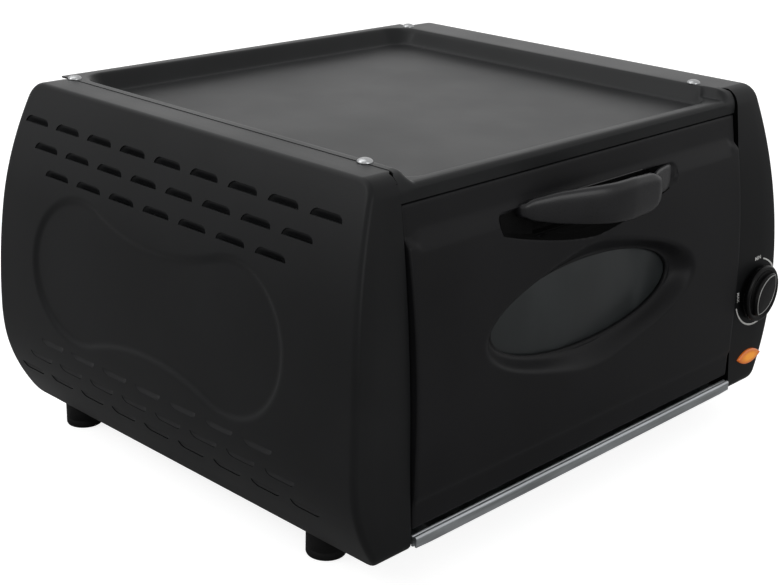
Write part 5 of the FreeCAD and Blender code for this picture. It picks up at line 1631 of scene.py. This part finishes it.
# ---- controls -----------------------------------------------------------------------------------
@dataclass
class Controls:
    """Thermostat knob, its printed scale and the amber lamp lens."""

    x: float = 180.0
    knob_z: float = 87.0
    skirt: float = 19.3
    skirt_front: float = 5.0
    reach: float = 7.3
    blade: Pair = (16.0, 10.4)
    draft: float = 0.7
    turn: float = 34.0
    scale_radii: Pair = (21.3, 23.0)
    flange_edge: float = 196.6
    lens_x: float = 178.3
    lens_z: float = 41.0
    lens: Pair = (13.3, 5.2)
    lens_steps: int = 24
    blade_steps: int = 21
    skirt_lift: float = 0.6
    skirt_rim: float = 1.6
    scale_turns: Pair = (-76.0, 160.0)
    scale_width: Triple = (0.9, 0.5, 0.7)
    scale_margin: float = 0.8
    scale_lift: float = 0.16
    scale_sheet: float = 0.05
    lens_inset: float = 0.98
    em_per_letter: float = 1.4
    word_half: float = 0.03
    word_weight: float = 0.06
    word_lift: float = 0.2

    def lens_outline(self, grow: float = 0.0) -> Array:
        """Leaf outline of the lens, as (x, z) pairs."""
        outline = leaf_outline(self.lens[0] + grow, self.lens[1] + grow, self.lens_steps)
        return outline + (self.lens_x, self.lens_z)

    def leaf(self, inset: float, y: float) -> Array:
        """Blade outline inside its full size, turned to the pointer's angle, at a depth."""
        half_length, half_width = (size - inset for size in self.blade)
        along, across = leaf_outline(half_length, half_width, self.blade_steps).T
        lean = math.radians(self.turn)
        x = across * math.cos(lean) + along * math.sin(lean)
        z = -across * math.sin(lean) + along * math.cos(lean)
        return xyz(self.x + x, y, self.knob_z + z)

    def skirt_piece(self) -> Piece:
        """The knob's round skirt with a rolled rim."""
        r, t, rim = self.skirt, self.skirt_front - self.skirt_lift, self.skirt_rim
        profile = [(8.2, 0.0), (r - 1.2, 0.0), (r - 0.3, 0.2), (r, 0.8), (r, t - 1.7)]
        profile += [(r - rim * (1 - math.cos(a)), t - 1.7 + rim * math.sin(a))
                    for a in np.radians(np.linspace(10, 90, 7))]
        profile += [(r - 2.6, t - 0.15), (r - 3.2, t - 0.45), (r - 4.4, t - 0.5), (3.0, t - 0.5)]
        points, faces = lathe(profile, 96)
        moved = xyz(points[:, 0] + self.x, CASING.front - self.skirt_lift - points[:, 2],
                    points[:, 1] + self.knob_z)
        return solid("knob_skirt", moved, faces, KNOB_BLACK, 40.0)

    def blade_piece(self) -> Piece:
        """The raised grip blade."""
        front = CASING.front - self.reach
        base = CASING.front - self.skirt_front + 1.0
        stations = [(0.0, base), (0.05, base - 1.2), (0.4, front + 1.3), (0.8, front + 0.6),
                    (1.35, front + 0.2), (1.9, front + 0.05), (2.6, front)]
        points, faces = loft([self.leaf(inset * self.draft, y) for inset, y in stations])
        return solid("knob_blade", points, faces, KNOB_BLACK, 60.0)

    def blade_line(self) -> Piece:
        """Painted highlight: a bright metallic line round the blade's front edge."""
        front = CASING.front - self.reach
        outer, inner, under = (self.leaf(inset, front + depth)
                               for inset, depth in ((0.9, 0.1), (1.7, -0.1), (1.7, 0.6)))
        points, faces = loft([outer, inner, under, outer], close_ends=False)
        piece = mesh_object("knob_blade_line", points, faces, BLADE_PAINTED_HIGHLIGHT, merge=MERGE)
        return recalculated(piece)

    def scale_arc(self) -> Piece:
        """Printed arc, widest in its middle, cut off at the flange's edge."""
        steps = 90
        least, extra, power = self.scale_width
        angles = np.radians(np.linspace(*self.scale_turns, steps))
        points = []
        for share, angle in zip(np.linspace(0, 1, steps), angles):
            width = least + extra * math.sin(math.pi * share) ** power
            for grow in (-width / 2, width / 2):
                x = self.x + (self.scale_radii[0] + grow) * math.cos(angle)
                z = self.knob_z - (self.scale_radii[1] + grow) * math.sin(angle)
                x = min(x, self.flange_edge - self.scale_margin * (grow < 0))
                points.append((x, float(RIGHT_CASING.flange_at(x, z)) - self.scale_lift, z))
        made = mesh_object("scale_arc", np.array(points), grid_faces(steps, 2), PRINT_WHITE)
        return recalculated(thickened(made, self.scale_sheet, 0.0))

    def word(self, name: str, text: str, size: float, centre: Pair,
             turn: float) -> Piece:
        """A printed generic word on the front flange.

        Args:
            name: the piece's name.
            text: the word.
            size: letter height, in millimetres.
            centre: x and z of its middle.
            turn: degrees anticlockwise as one faces it.
        Returns:
            The word as a thin mesh.
        """
        curve = bpy.data.curves.new(name, "FONT")
        curve.body = text
        curve.size = size * self.em_per_letter * MM
        curve.align_x, curve.align_y = "CENTER", "CENTER"
        curve.extrude = self.word_half * MM
        curve.offset = self.word_weight * MM
        source = linked(name + "_curve", curve)
        bpy.context.view_layer.update()
        mesh = bpy.data.meshes.new_from_object(
            source.evaluated_get(bpy.context.evaluated_depsgraph_get()))
        bpy.data.objects.remove(source)
        depth = float(RIGHT_CASING.flange_at(*centre)) - PRINT_SINK
        mesh.transform(Matrix.Translation((centre[0] * MM, depth * MM, centre[1] * MM))
                       @ Matrix.Rotation(math.radians(90), 4, "X")
                       @ Matrix.Rotation(math.radians(turn), 4, "Z"))
        coated(mesh, PRINT_WHITE)

        def follow(points: Array) -> Array:
            seat = RIGHT_CASING.flange_at(points[:, 0], points[:, 2])
            points[:, 1] += seat - depth - self.word_lift
            return points
        return reshaped(linked(name, mesh), follow)

    def lens_piece(self) -> Piece:
        """The lens: a low crowned leaf, its rim deeper than its middle."""
        stations = [(0.0, 1.0), (0.0, -0.6), (0.25, -1.05), (0.9, -1.3), (2.0, -1.48),
                    (3.4, -1.58)]
        sections = []
        for inset, depth in stations:
            x, z = self.lens_outline(-inset * self.lens_inset - FILM).T
            sections.append(xyz(x, RIGHT_CASING.flange_at(x, z) + depth, z))
        points, faces = loft(sections)
        return solid("amber_leaf", points, faces, self.lens_finish(), 60.0)

    def lens_finish(self) -> LitLens:
        """The lens's amber plastic."""
        return LitLens("amber_plastic", "amber_lens", (0.58, 0.12, 0.004), 0.25,
                       centre=(self.lens_x * MM, 0.0, self.lens_z * MM),
                       half=(self.lens[0] * MM, self.lens[1] * MM))

    def build(self) -> None:
        """Make the knob, its scale and the lens."""
        place(self.skirt_piece(), Body.KNOB, KNOB_BLACK, "control_knob")
        place(self.blade_piece(), Body.KNOB, KNOB_BLACK)
        place(self.blade_line(), Body.KNOB, BLADE_PAINTED_HIGHLIGHT)
        place(self.scale_arc(), Body.CASING, PRINT_WHITE)
        for word in (("scale_low_word", "MIN", 2.5, (179.4, 110.6), 8.0),
                     ("scale_high_word", "MAX", 2.3, (160.9, 86.8), -84.0)):
            place(self.word(*word), Body.CASING, PRINT_WHITE)
        place(self.lens_piece(), Body.CASING, self.lens_finish(), "indicator_lens")
        for node, finish, bevel in (("thermostat", BLOCK_BLACK, 0.5),
                                    ("indicator_lamp", BLOCK_BLACK, 0.3),
                                    ("thermostat_nut", BRASS_TURNED, 0.2)):
            dressed_copy(node, Body.CASING, finish, bevel)
        refinish(BRASS_TURNED, "thermostat_shaft")


# ---- crumb tray, feet, fasteners and inside ------------------------------------------------------
@dataclass
class CrumbTray:
    """Slide-out tray with a bright rolled front lip."""

    half: float = 153.5
    lip_front: float = -153.5
    low: float = 23.6
    high: float = 30.2
    roll: float = 1.5
    end_size: float = 0.925
    lip_depth: float = 2.2

    def lip(self) -> Piece:
        """The lip: a strip rolled over at its top, its ends closed."""
        centre_y = self.lip_front + self.roll
        centre_z = self.high - self.roll
        turns = np.radians(np.linspace(180, -60, 15))
        outline = [(self.lip_front, self.low), (self.lip_front, centre_z)]
        outline += [(centre_y + self.roll * math.cos(a), centre_z + self.roll * math.sin(a))
                    for a in turns]
        outline += [(self.lip_front + 1.5, centre_z - 1.4), (self.lip_front + 1.2, self.low)]
        outline = np.array(outline)
        middle = outline.mean(0)
        sections = []
        for x in graded([(-self.half, 1), (self.half, 12.0)]):
            size = self.end_size if abs(x) == self.half else 1.0
            sections.append(xyz(x, *(middle + (outline - middle) * size).T))
        points, faces = loft(sections)
        return solid("crumb_tray_lip", points, faces, TRAY_METAL)

    def build(self) -> None:
        """Make the tray's pan and lip."""
        place(self.lip(), Body.CRUMB_TRAY, TRAY_METAL)
        pan = dressed_copy("crumb_tray", Body.CRUMB_TRAY, TRAY_METAL, 0.15, "crumb_tray_pan")

        def behind_lip(points: Array) -> Array:
            points[:, 1] = np.maximum(points[:, 1], self.lip_front + self.lip_depth)
            return points
        reshaped(pan, behind_lip)


@dataclass
class Feet:
    """Four round rubber feet."""

    radius: float = 11.6
    height: float = 20.0
    x: float = 162.0
    depths: Pair = (-93.5, 137.0)

    def foot(self, name: str, x: float, y: float) -> Piece:
        """One foot: a drum with a rounded tread, a shallow waist groove and a screw recess."""
        r, h = self.radius, self.height
        profile = [(1.9, 10.0), (4.9, 10.0), (4.9, 0.5), (5.3, 0.05), (r - 1.3, 0.0),
                   (r - 0.4, 0.35), (r, 1.2), (r, 4.4), (r - 0.35, 4.8), (r - 0.35, 5.4),
                   (r, 5.8), (r, h - 0.6), (r - 0.6, h), (1.9, h)]
        points, faces = lathe(profile, 64)
        return solid(name, points + (x, y, 0), faces, FOOT_BLACK)

    def build(self) -> None:
        """Make the four feet."""
        for depth_name, y in zip(("front", "back"), self.depths):
            for side_name, side in (("left", -1), ("right", 1)):
                piece = self.foot(f"rubber_foot_{depth_name}_{side_name}", side * self.x, y)
                place(piece, Body.CASING, FOOT_BLACK, f"foot_{depth_name}_{side_name}")


@dataclass
class Fasteners:
    """Domed cross screws on the tray's rim and pan-head screws on the back."""

    head: float = 4.3
    rise: float = 2.2
    cross: float = 5.0
    groove: float = 0.9
    top_places: tuple[Pair, ...] = ((150.0, -105.0), (150.0, 148.5))
    seat_z: float = 225.25
    top_turns: tuple[float, ...] = (0.35, 1.1, 0.7, 0.15)
    cross_lift: float = 1.05
    crease: float = 35.0

    def domed(self, graph: Graph, sizes: dict[str, Sock]) -> Sock:
        """Geometry of one domed head with a cross pressed into it."""
        ball = graph.node("GeometryNodeMeshUVSphere", None,
                          {"Segments": 32, "Rings": 24, "Radius": 1.0})
        x, y, z = graph.position()
        moved = graph.vector(x * sizes["Head"], y * sizes["Head"],
                             z.math("MAXIMUM", 0.0) * sizes["Rise"])
        dome = graph.node("GeometryNodeSetPosition", None, {"Geometry": ball, "Position": moved})
        bars = []
        for first, second in (("Cross", "Groove"), ("Groove", "Cross")):
            size = graph.vector(sizes[first], sizes[second], sizes["Rise"])
            bar = graph.node("GeometryNodeMeshCube", None, {"Size": size})
            lift = graph.vector(0.0, 0.0, sizes["Rise"] * self.cross_lift)
            bars.append(graph.node("GeometryNodeTransform", None,
                                   {"Geometry": bar, "Translation": lift}))
        return graph.node("GeometryNodeMeshBoolean", {"operation": "DIFFERENCE"},
                          {0: dome, 1: self.joined(graph, bars)})

    @staticmethod
    def joined(graph: Graph, parts: Sequence[Sock]) -> Sock:
        """Several geometries as one."""
        made = graph.tree.nodes.new("GeometryNodeJoinGeometry")
        for part in parts:
            graph.tree.links.new(part.socket, made.inputs[0])
        return Sock(graph, made.outputs[0])

    def build(self) -> None:
        """Make all screws that show."""
        pattern = Pattern("rim_screws", SCREW_CHROME,
                          {"Head": self.head, "Rise": self.rise, "Cross": self.cross,
                           "Groove": self.groove})
        places = [(side * x, y, self.seat_z) for x, y in self.top_places for side in (-1, 1)]
        turns = [(0, 0, turn) for turn in self.top_turns]
        piece = pattern.piece(np.array(places), np.array(turns), self.domed)
        creased(piece, self.crease)
        place(piece, Body.CASING, SCREW_CHROME, "top_screws")
        for node in ("back_screws", "inlet_screws", "foot_screws"):
            dressed_copy(node, Body.CASING, SCREW_STEEL, 0.35)


@dataclass
class Inside:
    """Back, base and the oven chamber with what it holds."""

    def build(self) -> None:
        """Dress the pieces whose solids already have the right shape."""
        for node, finish, bevel, name in (("back_panel", PANEL_BLACK, 0.0, "back_sheet"),
                                          ("base_pan", BASE_ZINC, 0.3, "base_sheet")):
            reshaped(dressed_copy(node, Body.CASING, finish, bevel, name), tucked)
        for node, finish, bevel, name in (("power_inlet", BLOCK_BLACK, 0.4, "inlet_shroud"),
                                          ("terminal_block", TERMINAL_WHITE, 0.5, ""),
                                          ("hinge_bushes", BRASS_TURNED, 0.2, ""),
                                          ("front_frame", LINER_STEEL, 0.2, "")):
            dressed_copy(node, Body.CASING, finish, bevel, name)
        refinish(LINER_STEEL, "left_liner", "right_liner", "chamber_back", "chamber_roof",
                 "rack_runners")
        refinish(RACK_CHROME, "grill_rack")
        refinish(HEATER_SHEATH, "upper_heaters", "lower_heaters")
        refinish(CERAMIC_WHITE, "heater_insulators")
        refinish(SCREW_STEEL, "heater_terminals")


# ---- studio -------------------------------------------------------------------------------------
@dataclass
class Studio:
    """Pale floor, white surround, soft lights and the camera."""

    location: Triple = (-0.6657, -0.6141, 0.4220)
    azimuth: float = -46.53
    elevation: float = 20.23
    roll: float = 1.74
    lens: float = 68.1
    sensor: float = 36.0
    clip: Pair = (0.01, 50.0)
    floor_half: float = 6.0
    floor_tone: float = 0.42
    grey: float = 0.45

    def camera(self) -> None:
        """The camera, turned by azimuth, elevation and roll."""
        az, el, ro = (math.radians(a) for a in (self.azimuth, self.elevation, self.roll))
        back = Vector((math.sin(az) * math.cos(el), -math.cos(az) * math.cos(el), math.sin(el)))
        level = Vector((math.cos(az), math.sin(az), 0.0))
        up = back.cross(level)
        right = math.cos(ro) * level + math.sin(ro) * up
        true_up = -math.sin(ro) * level + math.cos(ro) * up
        data = bpy.data.cameras.new("studio_camera")
        data.lens, data.sensor_width, data.sensor_fit = self.lens, self.sensor, "HORIZONTAL"
        data.clip_start, data.clip_end = self.clip
        made = linked("studio_camera", data)
        matrix = Matrix((right, true_up, back)).transposed().to_4x4()
        matrix.translation = self.location
        made.matrix_world = matrix
        bpy.context.scene.camera = made

    def floor(self) -> None:
        """A wide pale floor that fades to white away from the object."""
        points = np.array([(-1, -1, 0), (1, -1, 0), (1, 1, 0), (-1, 1, 0)]) * self.floor_half / MM
        finish = Floor("floor_pale", "", (self.floor_tone,) * 3, 0.7)
        made = mesh_object("studio_floor", points, [[0, 1, 2, 3]], finish)

    def surround(self) -> None:
        """White to the eye and in reflections, a soft grey as a light."""
        world = bpy.data.worlds.new("studio_surround")
        world.use_nodes = True
        world.node_tree.nodes.clear()
        graph = Graph(world.node_tree)
        seen = graph.node("ShaderNodeLightPath", out="Is Camera Ray")
        rays = seen.socket.node.outputs
        for kind in ("Is Transmission Ray", "Is Glossy Ray"):
            seen = seen.math("MAXIMUM", Sock(graph, rays[kind]))
        bright = seen * (1 - self.grey) + self.grey
        sky = graph.node("ShaderNodeBackground", None, {"Color": (1, 1, 1, 1), "Strength": bright})
        graph.node("ShaderNodeOutputWorld", None, {"Surface": sky})
        bpy.context.scene.world = world

    @staticmethod
    def softbox(name: str, place_at: Sequence[float], aim: Sequence[float], size: float,
                watts: float) -> None:
        """A square soft light aimed at a point."""
        data = bpy.data.lights.new(name, "AREA")
        data.shape, data.size, data.energy = "SQUARE", size, watts
        direction = Vector(aim) - Vector(place_at)
        turn = direction.to_track_quat("-Z", "Y").to_matrix().to_4x4()
        linked(name, data).matrix_world = Matrix.Translation(place_at) @ turn

    def build(self) -> None:
        """Set up the studio."""
        self.camera()
        self.floor()
        self.surround()
        for light in (("overhead_soft", (-0.3, 0.6, 1.5), (0, 0, 0.1), 1.3, 8.5),
                      ("side_soft", (-1.6, 0.9, 1.4), (0, 0, 0.2), 0.8, 12.0),
                      ("front_soft", (-0.3, -1.8, 0.8), (0.05, 0, 0.1), 0.9, 7.5)):
            self.softbox(*light)
        bpy.context.scene.view_settings.view_transform = "Standard"


@dataclass(frozen=True)
class Floor(Finish):
    """Pale floor, white to the eye where no shadow falls."""

    lift: float = 0.85

    def shade(self, graph: Graph) -> Sock:
        """Diffuse floor with a very faint mottle."""
        mottle = graph.noise(3.0, 2.0)
        paper = self.principled(graph, self.tone(graph, mottle, 0.985, 1.01), self.roughness)
        seen = graph.node("ShaderNodeLightPath", out="Is Camera Ray")
        glow = graph.node("ShaderNodeEmission", None, {"Color": (1, 1, 1, 1),
                                                       "Strength": seen * self.lift})
        return graph.node("ShaderNodeAddShader", None, {0: paper, 1: glow})


def main() -> None:
    """Build every sub-assembly in order."""
    logging.basicConfig(level=logging.INFO, format="%(message)s", stream=sys.stdout)
    for part in (Studio(), SidePanel(right=False), SidePanel(right=True), TopTray(), Door(),
                 Controls(), CrumbTray(), Feet(), Fasteners(), Inside()):
        part.build()


if __name__ == "__main__":
    main()
